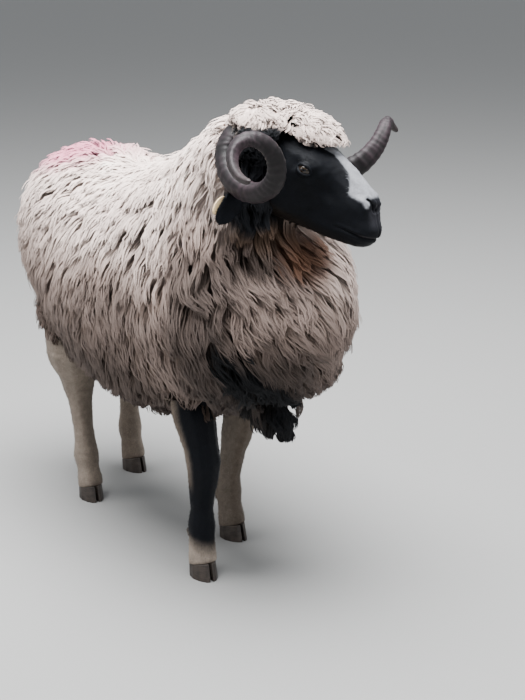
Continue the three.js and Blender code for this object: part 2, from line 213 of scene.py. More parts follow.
# where the wool stands in a thin ridge, the hide keeps to its own side of it
outside_tree = BVHTree.FromPolygons(
    [Vector(p) for p in fleece_points], [tuple(face.vertices) for face in fleece.data.polygons]
)
STARTS_IN, LOOKS_TO, RIDGE_SHARE = 0.003, 0.15, 0.3
through = np.full(len(depth), 1.0)
for i, p in enumerate(fleece_points):
    hit = outside_tree.ray_cast(Vector(p - inward[i] * STARTS_IN), Vector(-inward[i]), LOOKS_TO)
    if hit[0] is not None:
        through[i] = hit[3] + STARTS_IN
depth = np.minimum(depth, RIDGE_SHARE * through)
for k in range(5):
    depth = np.minimum(depth, averaged(depth[:, None], fleece_edges)[:, 0])
hide_points = fleece_points - inward * depth[:, None]
for k in range(8):
    hide_points += (averaged(hide_points, fleece_edges) - hide_points) * 0.5 * (depth > 0.012)[:, None]
hide = fleece.copy()
hide.data = fleece.data.copy()
hide.name = hide.data.name = "hide"
bpy.context.scene.collection.objects.link(hide)
set_points(hide.data, hide_points)
# the head and the lower legs are made at a finer grain, so the coarse hide ends inside them
head_x, head_y, head_z = in_head(fleece_points).T
covered = np.isin(nearest_solid, HEAD_SOLIDS) & (head_x > 35)
covered |= np.isin(nearest_solid, ("ear_right", "ear_left"))
covered |= (head_x > 42) & (np.abs(head_y) < 80) & (head_z > -85)
covered |= np.isin(nearest_solid, LEG_SOLIDS) & (fleece_points[:, 2] < 0.30)
head_x, head_y, head_z = in_head(hide_points).T
covered |= (head_x > 30) & (np.abs(head_y) < 100) & (head_z > -60)
bm = bmesh.new()
bm.from_mesh(hide.data)
bm.verts.ensure_lookup_table()
bmesh.ops.delete(bm, geom=[v for v in bm.verts if covered[v.index]], context="VERTS")
bm.to_mesh(hide.data)
bm.free()
modified(hide, "DECIMATE", ratio=0.3)

# The legs at a finer grain. Their tops sink into the thighs.
LIMB_GROWTH, LEG_GRAIN, HEAD_GRAIN = 0.0008, 0.0042, 0.0023
legs = rounded(remeshed(merged_copy("legs", LEG_SOLIDS, LIMB_GROWTH), LEG_GRAIN), 14)
leg_points = points_of(legs.data)
leg_points -= normals_of(legs.data) * (0.018 * smoothstep(0.30, 0.40, leg_points[:, 2]))[:, None]
set_points(legs.data, leg_points)

# The head at the finest grain, with more points round the eyes, nostrils and lips.
EYE_PLACE = np.array([106.0, 52.0, 17.0])
head = merged_copy("head", [*HEAD_SOLIDS, "eye_right", "eye_left"], LIMB_GROWTH)
rounded(remeshed(head, HEAD_GRAIN), 26)


def near_line(p, line):
    """Distance from each point to a line of points, and how far along it the nearest place is, 0 to 1."""
    line = np.asarray(line, float)
    best = np.full(len(p), 1e9)
    along = np.zeros(len(p))
    for i in range(len(line) - 1):
        step = line[i + 1] - line[i]
        t = np.clip(((p - line[i]) @ step) / (step @ step), 0, 1)
        d = np.linalg.norm(p - line[i] - t[:, None] * step, axis=1)
        closer = d < best
        best[closer] = d[closer]
        along[closer] = (i + t[closer]) / (len(line) - 1)
    return best, along


def one_side(p):
    """Points of the head laid over on to its left side."""
    q = p.copy()
    q[:, 1] = np.abs(q[:, 1])
    return q


def bump(x, width):
    """A soft rise round nought, one high."""
    return np.exp(-((x / width) ** 2))


def nudge(q):
    """Draws the end of the nose in and brings the lips and chin forward. Millimetres along the head."""
    x, y, z = q.T
    nose = 7.5 * bump(z - 6, 11) * smoothstep(218, 240, x)
    lips = 7.5 * bump(z + 30, 13) * smoothstep(200, 242, x)
    chin = 4.5 * bump(z + 52, 10) * smoothstep(195, 235, x)
    return lips + chin - nose


def tree_of(places):
    """A tree that finds which of some places is nearest."""
    tree = KDTree(len(places))
    for i, place in enumerate(places):
        tree.insert(place, i)
    tree.balance()
    return tree


p = in_head(points_of(head.data))
p[:, 0] += nudge(p)
set_points(head.data, from_head(p))
nose_tree = tree_of(one_side(p))
# each nostril runs round from beside the cleft to the wing
NOSTRIL = [(231, 6, 3), (229, 10, 9), (224.5, 14.5, 14), (217, 18.5, 17)]
NOSTRIL = [tuple(nose_tree.find(place)[0]) for place in NOSTRIL]


def lip_level(x):
    """How high the parting of the lips lies along the muzzle."""
    return np.interp(x, [180, 192, 216, 234, 247, 256], [-52.5, -47.5, -44.5, -42.5, -41, -40.5])


def refine(piece, wanted):
    """Halves the edges of a mesh in the places that are wanted fine."""
    bm = bmesh.new()
    bm.from_mesh(piece.data)
    inside = wanted(in_head(np.array([v.co for v in bm.verts])))
    bm.verts.ensure_lookup_table()
    edges = [e for e in bm.edges if inside[e.verts[0].index] and inside[e.verts[1].index]]
    bmesh.ops.subdivide_edges(bm, edges=edges, cuts=1, use_grid_fill=True)
    bmesh.ops.triangulate(bm, faces=[f for f in bm.faces if len(f.verts) > 4])
    bm.to_mesh(piece.data)
    bm.free()


def fine_place(p):
    q = one_side(p)
    eye = np.linalg.norm(q - EYE_PLACE, axis=1) < 23
    nose = near_line(q, NOSTRIL)[0] < 10
    lips = (np.abs(q[:, 2] - lip_level(q[:, 0])) < 5) & (q[:, 0] > 180)
    return eye | nose | lips


refine(head, fine_place)

# The eye's own directions, and the opening between the lids, in millimetres over a ball of this radius.
LID_BALL, LID_HALF_LENGTH, LID_ABOVE, LID_BELOW = 13, 12.4, 5.8, 5.2
EYE_OUT = np.array([0.20, 0.97, 0.12])
EYE_OUT /= np.linalg.norm(EYE_OUT)
EYE_ALONG = np.array([0.96, -0.19, -0.12])
EYE_ALONG -= EYE_OUT * (EYE_ALONG @ EYE_OUT)
EYE_ALONG /= np.linalg.norm(EYE_ALONG)
EYE_UP = np.cross(EYE_ALONG, EYE_OUT)
EYE_UP *= np.sign(EYE_UP[2])


def lid_gap(q):
    """How far a point lies outside the lids' opening, where along and above it, and how far out."""
    way = q - EYE_PLACE
    r = np.linalg.norm(way, axis=1)
    way /= r[:, None]
    u = np.arctan2(way @ EYE_ALONG, way @ EYE_OUT) * LID_BALL
    v = np.arcsin(np.clip(way @ EYE_UP, -1, 1)) * LID_BALL
    share = np.clip(1 - (u / LID_HALF_LENGTH) ** 2, 0, 1) ** 0.62
    half = np.where(v > 0, LID_ABOVE, LID_BELOW) * share
    beyond = np.abs(u) - LID_HALF_LENGTH
    gap = np.where(beyond < 0, np.abs(v) - half, np.hypot(beyond, v))
    return gap, u, v, r


def shape_head(p, n):
    """Adds the lids, nostrils, lips and muscles of the face to points of the head's frame."""
    q = one_side(p)
    m = n.copy()
    m[:, 1] *= np.where(p[:, 1] < 0, -1, 1)
    side = np.where(p[:, 1] < 0, -1.0, 1.0)
    out = np.zeros(len(q))
    # muscles and bones of the face
    for rise, line, width in (
        (1.6, [(96, 50, -6), (128, 38, -14), (158, 30, -20)], 7),
        (-1.4, [(120, 44, 6), (146, 31, 0), (172, 27, -8)], 8),
        (1.5, [(84, 48, 36), (104, 49, 38), (122, 43, 33)], 6),
        (-1.2, [(112, 40, -40), (150, 27, -42), (176, 26, -44)], 7),
    ):
        out += rise * bump(near_line(q, line)[0], width)
    # lips, with the cleft under the nose
    lips = q[:, 2] - lip_level(q[:, 0])
    front = smoothstep(180, 196, q[:, 0])
    out += 1.6 * bump(np.abs(lips) - 5.5, 3.2) * front
    out -= (1.6 + 1.8 * smoothstep(200, 240, q[:, 0])) * bump(lips, 1.3) * front
    cleft = np.abs(q[:, 1]) + 30 * (q[:, 0] < 215) + 30 * smoothstep(4, 8, q[:, 2]) + 30 * (q[:, 2] < -38)
    out -= 2.0 * bump(cleft, 1.6)
    out += 0.8 * bump(cleft - 5, 3)
    # nostrils: a comma, wide at the front, with a swollen upper wing
    nostril, along = near_line(q, NOSTRIL)
    width = 3.9 * (1 - 0.55 * along) + 0.2
    out += 1.6 * bump(nostril - 7, 2.6) * (1 - 0.5 * along)
    out -= (9.5 - 6 * along) * bump(nostril, width)
    # corner of the eye, with the groove of the tear gland below it
    out -= 1.5 * bump(near_line(q, [(119, 49, 11), (127, 42, 4), (133, 37, -3)])[0], 2.2)
    q = q + m * out[:, None]
    # lids over the eyeball
    gap, u, v, r = lid_gap(q)
    front = (q - EYE_PLACE) @ EYE_OUT
    held = smoothstep(12.5, 4.5, gap) * smoothstep(-3, 2, front) * smoothstep(32, 24, r)
    lid = 15.3 + 0.5 * bump(gap - 2.2, 1.6) - 0.9 * bump(gap - 5.6, 1.1) * (v > 0)
    lid -= 4.4 * smoothstep(0.5, -1.3, gap)
    target = r + (lid - r) * held
    q = EYE_PLACE + (q - EYE_PLACE) * (target / r)[:, None]
    q[:, 1] *= side
    return q


head_points = in_head(points_of(head.data))
head_normals = normals_of(head.data) @ HEAD_TURN
set_points(head.data, from_head(shape_head(head_points, head_normals)))
head_tree = BVHTree.FromPolygons(
    [v.co for v in head.data.vertices], [p.vertices for p in head.data.polygons]
)
skin_parts = [hide, legs, head]

# The markings, worked out from places on the body, are the same for the hide and for the wool and hair that
# grow on it: a black face with a pale blaze, pale wool that darkens downwards, and raddle on the rump. With
# them go painted light and shade: the darkening downwards is partly painted shade, and so are a dark
# shoulder, the darker roots of the wool, the darker hide under it and the shaded sides of the legs, whose lit
# sides are painted light.

WHITE = np.array([0.74, 0.71, 0.69])
TAN = np.array([0.36, 0.285, 0.225])
BLACK = np.array([0.003, 0.0036, 0.0052])
BROWN_BLACK = np.array([0.035, 0.026, 0.021])
RADDLE = np.array([0.58, 0.16, 0.26])
PALE_LEG = np.array([0.20, 0.165, 0.135])
BLAZE = np.array([0.20, 0.205, 0.22])


def mixed(a, b, share):
    """Two sets of colours mixed, by the share of the second."""
    return a + (b - a) * np.clip(share, 0, 1)[:, None]


def wobble(co, scale, seed):
    """Smooth unevenness, from -1 to 1."""
    rng = np.random.default_rng(seed)
    total = np.zeros(len(co))
    for k in range(5):
        way = rng.normal(size=3)
        way *= scale * (0.7 + 0.25 * k) / np.linalg.norm(way)
        total += np.sin(co @ way + rng.uniform(0, 6.28))
    return total / 3.2


# the middle line of each leg, from the elbow or stifle to the floor
LEG_LINES = dict(
    front_right=((0.164, -0.108, 0.35), (0.198, -0.102, 0.24), (0.181, -0.098, 0.108), (0.188, -0.1, 0)),
    front_left=((0.088, 0.064, 0.35), (0.068, 0.056, 0.24), (0.042, 0.049, 0.108), (0.057, 0.048, 0)),
    hind_right=((-0.304, -0.116, 0.35), (-0.32, -0.108, 0.262), (-0.311, -0.1, 0.115), (-0.295, -0.098, 0)),
    hind_left=((-0.378, 0.078, 0.35), (-0.438, 0.074, 0.262), (-0.422, 0.068, 0.115), (-0.403, 0.066, 0)),
)


def from_legs(co):
    """How far each place lies from the middle line of each leg."""
    return np.stack([near_line(co, LEG_LINES[leg])[0] for leg in LEG_NAMES], 1)


def leg_colour(co, leg):
    """One leg's colour: the near foreleg black in front, the others tan and pale, with painted light and
    shade on the far foreleg and the hind legs.
    """
    line = np.array(LEG_LINES[leg])
    order = np.argsort(line[:, 2])
    middle = np.stack([np.interp(co[:, 2], line[order, 2], line[order, k]) for k in (0, 1)], 1)
    way = co[:, :2] - middle
    way /= np.maximum(np.linalg.norm(way, axis=1), 1e-6)[:, None]
    fore, outer = way[:, 0], way[:, 1] * np.sign(line[0][1])
    z = co[:, 2] + 0.006 * wobble(co, 90, 3)
    if leg == "front_right":
        colour = np.tile(BLACK * 1.1, (len(co), 1))
        rear = smoothstep(0.15, 0.75, 0.55 * outer - 0.8 * fore) * smoothstep(0.17, 0.22, z)
        colour = mixed(colour, TAN * 0.36, rear)
        return mixed(colour, PALE_LEG * 1.15, smoothstep(0.085, 0.055, z + 0.012 * fore))
    if leg == "front_left":
        colour = np.tile(TAN * 0.22, (len(co), 1))
        # paler at both sides: painted light
        return mixed(colour, PALE_LEG * 0.55, smoothstep(0.2, 0.8, np.abs(outer)) * 0.8)
    colour = np.tile(PALE_LEG * 1.05, (len(co), 1))
    # the hind legs: painted shade on the inner front, a painted highlight down the back
    dark = smoothstep(0.0, 0.7, 0.6 * fore - 0.6 * outer)
    colour = mixed(colour, TAN * 0.3, dark * 0.8)
    return mixed(colour, WHITE * 0.55, smoothstep(0.35, 0.9, -fore) * 0.7)


def brow_level(x):
    """How high the edge of the pale wool and blaze lies along the side of the head."""
    along = [-30, 8, 18, 35, 50, 72, 90, 100, 108, 112]
    return np.interp(x, along, [34, 43, 51, 58, 52, 48, 49, 54, 58, -99])


def face_colour(p):
    """The head's colour from points of its own frame."""
    x, y, z = p.T
    p = p + np.stack([wobble(p, 0.35, 11), wobble(p, 0.35, 12), wobble(p, 0.35, 13)], 1) * 1.2
    # the blaze lies between a near, a far and a low edge
    near = np.interp(
        x,
        [104, 108, 127, 148, 163, 180, 185, 205, 222],
        [-30, -21, -12.6, -14.6, -17, -24.7, -29.6, -29.5, -27],
    )
    far = np.interp(x, [100, 118, 132, 145, 162, 176, 187, 200, 232], [24, 23, 23, 26, 29, 33, 36, 36, 34])
    low = np.interp(x, [100, 178, 188, 205, 222, 228], [20, 20, 9, 9, 4, 5])
    blaze = smoothstep(-1.3, 1.3, y - near) * smoothstep(1.3, -1.3, y - far)
    above = smoothstep(-1.3, 1.3, z - low) * smoothstep(-1.3, 1.3, z - brow_level(x))
    blaze *= above * smoothstep(98, 104, x)
    blaze *= smoothstep(231, 226, x + 9 * smoothstep(23, 18, np.abs(y)))
    colour = np.tile(BLACK, (len(p), 1))
    jaw = smoothstep(-66, -84, z + 0.12 * (x - 120)) + 0.5 * smoothstep(-58, -74, z)
    colour = mixed(colour, BROWN_BLACK * 0.25, jaw)
    colour = mixed(colour, BLAZE, blaze)
    q = one_side(p)
    wing, along = near_line(q, NOSTRIL)
    # painted shade inside the nostrils
    colour = mixed(colour, BLACK * 0.5, smoothstep(6.0, 4.4, wing + 2 * along))
    wet = smoothstep(218, 232, x) * smoothstep(24, 14, np.abs(y)) * smoothstep(-30, -12, z)
    colour = mixed(colour, np.array([0.018, 0.018, 0.022]), wet * (1 - blaze))
    lips = np.abs(z - lip_level(x))
    rim = smoothstep(4.0, 1.5, lips) * smoothstep(222, 240, x) * (z > lip_level(x))
    return mixed(colour, np.array([0.06, 0.052, 0.055]), rim * 0.7)


def cheek_share(co):
    """How surely a place lies in the short black wool round the ears, behind the cheeks and under the jaw."""
    p = in_head(co)
    q = one_side(p)
    uneven = wobble(co, 60, 6)
    cheek = np.linalg.norm((q - (46, 72, -78)) / (60, 50, 60), axis=1)
    share = smoothstep(1.15, 0.9, cheek + 0.10 * uneven) * (q[:, 2] < brow_level(q[:, 0]))
    side = smoothstep(-34, -16, q[:, 0] + 7 * uneven) * smoothstep(3, -3, q[:, 2] - brow_level(q[:, 0]))
    side *= smoothstep(-80, -55, q[:, 2]) * smoothstep(18, 30, q[:, 1]) * smoothstep(135, 112, q[:, 1])
    under = smoothstep(0.708, 0.722, co[:, 2] + 0.006 * uneven) * smoothstep(18, 34, q[:, 0])
    under *= smoothstep(80, 62, q[:, 1]) * (q[:, 2] < -40) * smoothstep(0.2, 0.24, co[:, 0])
    return np.maximum(np.maximum(share, side), under)


def coat_colour(co):
    """The colour of the fleece at its tips."""
    x, y, z = co.T
    patchy = 0.02 * wobble(co, 12, 21)
    # the wool darkens downwards on the flank and the mane: partly darker wool, partly painted shade under the
    # light from above
    flank = np.interp(z + patchy, [0.36, 0.42, 0.50, 0.60, 0.70, 0.78], [0.11, 0.18, 0.27, 0.53, 0.80, 0.93])
    mane = np.interp(
        z + patchy, [0.38, 0.45, 0.52, 0.60, 0.66, 0.74, 0.80], [0.05, 0.065, 0.13, 0.14, 0.17, 0.60, 0.88]
    )
    breast = smoothstep(0.30, 0.37, x + patchy) * smoothstep(0.66, 0.58, z) * smoothstep(0.45, 0.53, z)
    mane = mane * (1 + 1.0 * breast)
    ahead = smoothstep(0.19, 0.27, x + patchy) * (1 - 0.85 * smoothstep(-0.03, 0.05, y))
    light = (flank + (mane - flank) * ahead)[:, None]
    # a dark shoulder of painted shade, a greyer middle of the flank and paler wool over the elbows
    q = co * (1, -1, 1)
    for middle, size, times in (
        ((0.345, 0.165, 0.575), (0.055, 0.06, 0.09), 0.42),
        ((0.03, 0.22, 0.545), (0.12, 0.08, 0.06), 0.66),
        ((0.20, 0.17, 0.405), (0.12, 0.08, 0.045), 1.7),
    ):
        near = np.linalg.norm((q - middle) / size, axis=1) + 0.12 * wobble(co, 45, 61)
        light *= 1 + (times - 1) * smoothstep(1.35, 0.5, near)[:, None]
    # the palest wool is pinkish white, the rest browner the darker it is, its painted shade too
    colour = light * np.array([1.0, 0.81, 0.725]) ** (1.0 + 0.4 * smoothstep(0.75, 0.2, light))
    raddle = np.hypot((x + 0.36) / 0.20, (y + 0.01) / 0.15) + 0.25 * wobble(co, 20, 5)
    colour = mixed(colour, RADDLE, smoothstep(1.05, 0.3, raddle) * smoothstep(0.64, 0.71, z) * 0.9)
    # brown shading to rust under the jaw, and the black of the brisket
    for middle, size, tint, edges, share in (
        ((0.375, -0.085, 0.675), (0.075, 0.085, 0.045), (0.03, 0.02, 0.016), (1.4, 0.7), 0.9),
        ((0.36, -0.08, 0.698), (0.07, 0.06, 0.024), (0.085, 0.052, 0.034), (1.3, 0.7), 0.9),
        ((0.385, 0.0, 0.656), (0.09, 0.065, 0.042), (0.115, 0.052, 0.028), (1.35, 0.6), 0.92),
    ):
        near = np.linalg.norm((co - middle) / size, axis=1)
        colour = mixed(colour, np.array(tint), smoothstep(*edges, near) * share)
    edge = 0.378 - 0.72 * y + 0.01 * wobble(co, 60, 31)
    brisket = smoothstep(0.010, -0.010, z - edge) * smoothstep(0.320, 0.345, x) * smoothstep(0.04, 0.0, y)
    colour = mixed(colour, BLACK * 0.9, brisket)
    return mixed(colour, BLACK * 1.5, cheek_share(co))


def leg_colours(co):
    """Each place takes the colour of the leg nearest to it."""
    which = from_legs(co).argmin(1)
    colour = np.zeros((len(co), 3))
    for k, leg in enumerate(LEG_NAMES):
        colour[which == k] = leg_colour(co[which == k], leg)
    return colour


def hide_colour(co, part):
    """The hide's colour on body, legs or head. Under the wool it is the wool's, darker as painted shade."""
    if part == "head":
        p = in_head(co)
        ear = smoothstep(50, 62, np.abs(p[:, 1])) * smoothstep(62, 40, p[:, 0])
        # under the crown's wool the hide takes the wool's colour, darkened as painted shade
        under_crown = smoothstep(4, 10, p[:, 2] - brow_level(p[:, 0])) * smoothstep(108, 98, p[:, 0])
        return mixed(mixed(face_colour(p), coat_colour(co) * 0.7, under_crown), BLACK * 1.3, ear)
    # painted shade under the fleece: the wool's colour darkened, the more so low on the body
    wool = coat_colour(co) * (0.55 + 0.33 * smoothstep(0.50, 0.68, co[:, 2]))[:, None]
    p = in_head(co)
    by_jaw = np.zeros(len(co))
    below = (np.abs(p).max(1) < 220) & (p[:, 0] > 35) & (p[:, 2] < brow_level(p[:, 0]) - 4)
    for i in np.flatnonzero(below):
        by_jaw[i] = smoothstep(0.035, 0.015, head_tree.find_nearest(co[i])[3])
    wool = mixed(wool, BROWN_BLACK * 0.3, by_jaw)
    thigh = smoothstep(0.37, 0.42, co[:, 2])
    if part == "legs":
        return mixed(leg_colours(co), wool, thigh)
    near_leg = smoothstep(0.09, 0.07, from_legs(co).min(1))
    return mixed(wool, leg_colours(co), near_leg * (1 - thigh))


def paint(mesh, colours):
    """Puts the markings, with their painted light and shade, on a mesh, a colour to each point."""
    layer = mesh.color_attributes.new("marks_and_painted_light", "FLOAT_COLOR", "POINT")
    rgba = np.concatenate([np.clip(colours, 0, 1), np.ones((len(colours), 1))], 1)
    layer.data.foreach_set("color", rgba.astype(np.float32).ravel())


for piece, part in zip(skin_parts, ("hide", "legs", "head")):
    paint(piece.data, hide_colour(points_of(piece.data), part))
active(hide)
for piece in skin_parts:
    piece.select_set(True)
bpy.ops.object.join()
bpy.ops.object.shade_smooth()


def shader(name, rough, specular=0.3, sheen=0.0):
    """A new material, with its nodes, links and surface."""
    material = bpy.data.materials.new(name)
    material.use_nodes = True
    nodes = material.node_tree.nodes
    surface = nodes["Principled BSDF"]
    surface.inputs["Roughness"].default_value = rough
    surface.inputs["Specular IOR Level"].default_value = specular
    surface.inputs["Sheen Weight"].default_value = sheen
    surface.inputs["Sheen Roughness"].default_value = 0.5
    return material, nodes, material.node_tree.links, surface


def marks_of(nodes):
    """The markings, with their painted light and shade, that a mesh carries."""
    node = nodes.new("ShaderNodeAttribute")
    node.attribute_name = "marks_and_painted_light"
    return node.outputs["Color"]


def noise(nodes, links, vector, scale, detail):
    """Cloudy unevenness at a scale."""
    node = nodes.new("ShaderNodeTexNoise")
    node.inputs["Scale"].default_value = scale
    node.inputs["Detail"].default_value = detail
    links.new(vector, node.inputs["Vector"])
    return node.outputs["Fac"]


def varied(nodes, links, colour, fac, low, high):
    """A colour made darker and lighter by a pattern, from low to high times."""
    scale = nodes.new("ShaderNodeMapRange")
    for socket, value in (("From Min", 0.3), ("From Max", 0.7), ("To Min", low), ("To Max", high)):
        scale.inputs[socket].default_value = value
    links.new(fac, scale.inputs["Value"])
    times = nodes.new("ShaderNodeVectorMath")
    times.operation = "SCALE"
    links.new(colour, times.inputs[0])
    links.new(scale.outputs["Result"], times.inputs["Scale"])
    return times.outputs["Vector"]


def raised(nodes, links, surface, fac, strength, distance):
    """Fine relief on a surface."""
    node = nodes.new("ShaderNodeBump")
    node.inputs["Strength"].default_value = strength
    node.inputs["Distance"].default_value = distance
    links.new(fac, node.inputs["Height"])
    links.new(node.outputs["Normal"], surface.inputs["Normal"])


material, nodes, links, surface = shader("short_hair", 0.55, 0.08, 0.0)
where = nodes.new("ShaderNodeTexCoord").outputs["Object"]
fine = noise(nodes, links, where, 900, 2)
broad = noise(nodes, links, where, 90, 3)
colour = varied(nodes, links, marks_of(nodes), fine, 0.7, 1.3)
colour = varied(nodes, links, colour, broad, 0.85, 1.15)
links.new(colour, surface.inputs["Base Color"])
raised(nodes, links, surface, fine, 0.55, 0.0012)
hide.data.materials.clear()
hide.data.materials.append(material)
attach(hide, "root")
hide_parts(*TRUNK_SOLIDS, *HEAD_SOLIDS, *LEG_SOLIDS)

# ---------------------------------------------------------------- horns
# Horn sheath over bone, coiled outwards from the poll: a round section with three soft keels, ringed by
# growth ridges that are close and deep near the head and fade to a smooth tip. They come before the fleece,
# as the wool parts round them. Angles in degrees, lengths in millimetres of the head's frame.

# along each horn a listed share turns it pale, partly worn horn and partly painted light and shade where the
# coil faces the light or lies in shade; lit is the angle round the horn of its painted highlight
HORNS = {
    "right": dict(
        side=-1, middle=(7, -25), start=19, turn=545, long=(62, 30), tall=(55, 27), reach=(37, 300),
        forward=129, rise=86, lit=1.9, swell=0.0, length=1.0,
        light_and_wear=(
            [0, 0.1, 0.2, 0.28, 0.36, 0.42, 0.48, 0.56, 0.62, 0.7, 0.8, 1],
            [0.7, 0.5, 0.6, 0.9, 0.8, 0.4, 0.12, 0.15, 0.7, 1.1, 1.0, 0.9],
        ),
    ),
    "left": dict(
        side=1, middle=(11, -28), start=13, turn=480, long=(55, 17), tall=(45, 27), reach=(36, 275),
        forward=114, rise=110, lit=2.4, swell=0.32, length=0.94,
        light_and_wear=([0, 0.45, 0.51, 0.57, 0.7, 0.85, 1], [0.5, 0.15, 0.2, 1.0, 1.1, 0.6, 0.5]),
    ),
}
HORN_DARK = np.array([0.0055, 0.0045, 0.005])
# the pale colour serves both the worn ridges and the painted highlight
HORN_WORN_AND_LIT = np.array([0.060, 0.036, 0.046])
HORN_TIP = np.array([0.030, 0.023, 0.023])


def horn_line(horn, t):
    """Points of a horn's middle line in the head's frame."""
    angle = np.radians(horn["start"] + t * horn["turn"])
    long = horn["long"][0] + (horn["long"][1] - horn["long"][0]) * t
    tall = horn["tall"][0] + (horn["tall"][1] - horn["tall"][0]) * t
    across = horn["side"] * (horn["reach"][0] + (horn["reach"][1] - horn["reach"][0]) * t)
    return np.stack(
        [
            horn["middle"][0] + horn["forward"] * t - long * np.sin(angle),
            across,
            horn["middle"][1] + horn["rise"] * t + tall * np.cos(angle),
        ],
        -1,
    )


def horn_radius(t):
    """How thick a horn is along its length, in millimetres."""
    return 3 + 18 * np.minimum(1 - t, 1) ** 0.6


def turned_out(mesh):
    """Turns every face of a closed mesh outwards."""
    bm = bmesh.new()
    bm.from_mesh(mesh)
    bmesh.ops.recalc_face_normals(bm, faces=bm.faces)
    bm.to_mesh(mesh)
    bm.free()


def horn_mesh(name, horn, sides=24, rings=300):
    """One closed horn with its ridges, its worn colour and its painted light and shade."""
    t = np.linspace(-0.06, 0.995, rings)
    middle = horn_line(horn, t * horn["length"])
    along = np.gradient(middle, axis=0)
    along /= np.linalg.norm(along, axis=1)[:, None]
    across = np.cross([0, 1, 0], along)
    across /= np.linalg.norm(across, axis=1)[:, None]
    top = np.cross(along, across)
    seed = 3 + horn["side"]
    rng = np.random.default_rng(seed)
    # growth ridges, uneven in spacing and height
    ridges = np.cumsum(rng.uniform(0.018, 0.034, 60)) - 0.06
    ridges = ridges[ridges < 0.93]
    a = np.linspace(0, 2 * np.pi, sides, endpoint=False)
    radius = horn_radius(t) * (1 + horn["swell"] * bump(t - 0.46, 0.2))
    radius = radius[:, None] * (1 + 0.09 * np.cos(3 * a))[None]
    ridge = np.zeros((rings, sides))
    for middle_of_ridge in ridges:
        lean = 0.004 * np.sin(a + rng.uniform(0, 6.28)) + 0.002 * np.sin(3 * a + rng.uniform(0, 6.28))
        height = rng.uniform(0.45, 1.1) * (1 - middle_of_ridge) ** 0.5
        off = (t[:, None] - middle_of_ridge - lean[None]) / 0.0062
        ridge += height * np.exp(-(off**2)) - 0.35 * height * np.exp(-((off - 2.1) ** 2))
    fine = 0.16 * np.sin(t[:, None] * 900 + 2 * np.sin(a)[None] * 0.7) * (1 - t[:, None])
    grain = 0.25 * np.sin(7 * a[None] + 2.5 * np.sin(14 * t[:, None]))
    grain = grain + 0.2 * np.sin(11 * a[None] + 40 * t[:, None])
    radius = radius + ridge + fine + grain * np.minimum(1, radius / 12)
    # the tip is worn round
    radius[-4:] *= np.array([0.97, 0.88, 0.70, 0.38])[:, None]
    ring = (
        middle[:, None]
        + across[:, None] * (radius * np.cos(a))[..., None]
        + top[:, None] * (radius * np.sin(a))[..., None]
    )
    verts = np.concatenate([from_head(ring.reshape(-1, 3)), from_head(middle[[0, -1]])])
    faces = []
    for k in range(rings - 1):
        for i in range(sides):
            j = (i + 1) % sides
            faces.append((k * sides + i, k * sides + j, (k + 1) * sides + j, (k + 1) * sides + i))
    for i in range(sides):
        faces.append((rings * sides, (i + 1) % sides, i))
        faces.append((rings * sides + 1, (rings - 1) * sides + i, (rings - 1) * sides + (i + 1) % sides))
    mesh = bpy.data.meshes.new(name)
    mesh.from_pydata(verts.tolist(), [], faces)
    turned_out(mesh)
    # dark at the base and in the furrows, greyish pink on the worn ridges, with painted light and shade:
    # paler on the side turned to the light and where the coil faces it, darker where the coil lies in shade
    lit = 0.5 + 0.5 * np.cos(a[None] - horn["lit"]) + 0 * t[:, None]
    share = (0.12 + 0.26 * ridge + 0.35 * grain + 0.5 * lit**1.5).ravel()
    share = np.clip(share + 0.16 * wobble(ring.reshape(-1, 3), 0.11, 4 + seed), 0, 1)
    share *= np.repeat(np.interp(t, *horn["light_and_wear"]), sides)
    colour = mixed(np.tile(HORN_DARK, (rings * sides, 1)), HORN_WORN_AND_LIT, share)
    colour = mixed(colour, HORN_TIP, smoothstep(0.80, 0.98, np.repeat(t, sides)) * 0.8)
    paint(mesh, np.concatenate([colour, colour[:1], colour[-1:]]))
    return added(name, mesh)


material, nodes, links, surface = shader("horn_sheath", 0.55, 0.22)
where = nodes.new("ShaderNodeTexCoord").outputs["Object"]
mottle = noise(nodes, links, where, 120, 5)
links.new(varied(nodes, links, marks_of(nodes), mottle, 0.7, 1.25), surface.inputs["Base Color"])
raised(nodes, links, surface, noise(nodes, links, where, 500, 3), 0.35, 0.0006)
for side, horn in HORNS.items():
    piece = horn_mesh("ram_horn_" + side, horn)
    active(piece)
    bpy.ops.object.shade_smooth()
    piece.data.materials.append(material)
    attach(piece, "root")
    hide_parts("horn_" + side)

# ---------------------------------------------------------------- fleece
# Long mixed wool in pointed, wavy staples that part along the spine and hang down each side. Each staple is
# a bunch of solid strands that start on the hide and end at the outside of the fleece form.


def triangles_of(mesh):
    """The corners of a mesh's triangles."""
    mesh.calc_loop_triangles()
    corners = np.empty(len(mesh.loop_triangles) * 3, np.int32)
    mesh.loop_triangles.foreach_get("vertices", corners)
    return corners.reshape(-1, 3)


def areas(corner):
    """The areas of triangles, from the places of their corners."""
    return np.linalg.norm(np.cross(corner[:, 1] - corner[:, 0], corner[:, 2] - corner[:, 0]), axis=1) / 2


form_faces = triangles_of(fleece.data)
form_tree = BVHTree.FromPolygons([Vector(p) for p in fleece_points], form_faces.tolist())
corner = fleece_points[form_faces]
face_area = areas(corner)
face_normal = fleece_normals[form_faces].mean(1)
face_normal /= np.linalg.norm(face_normal, axis=1)[:, None]
face_depth = depth[form_faces].mean(1)
face_solid = nearest_solid[form_faces[:, 0]]


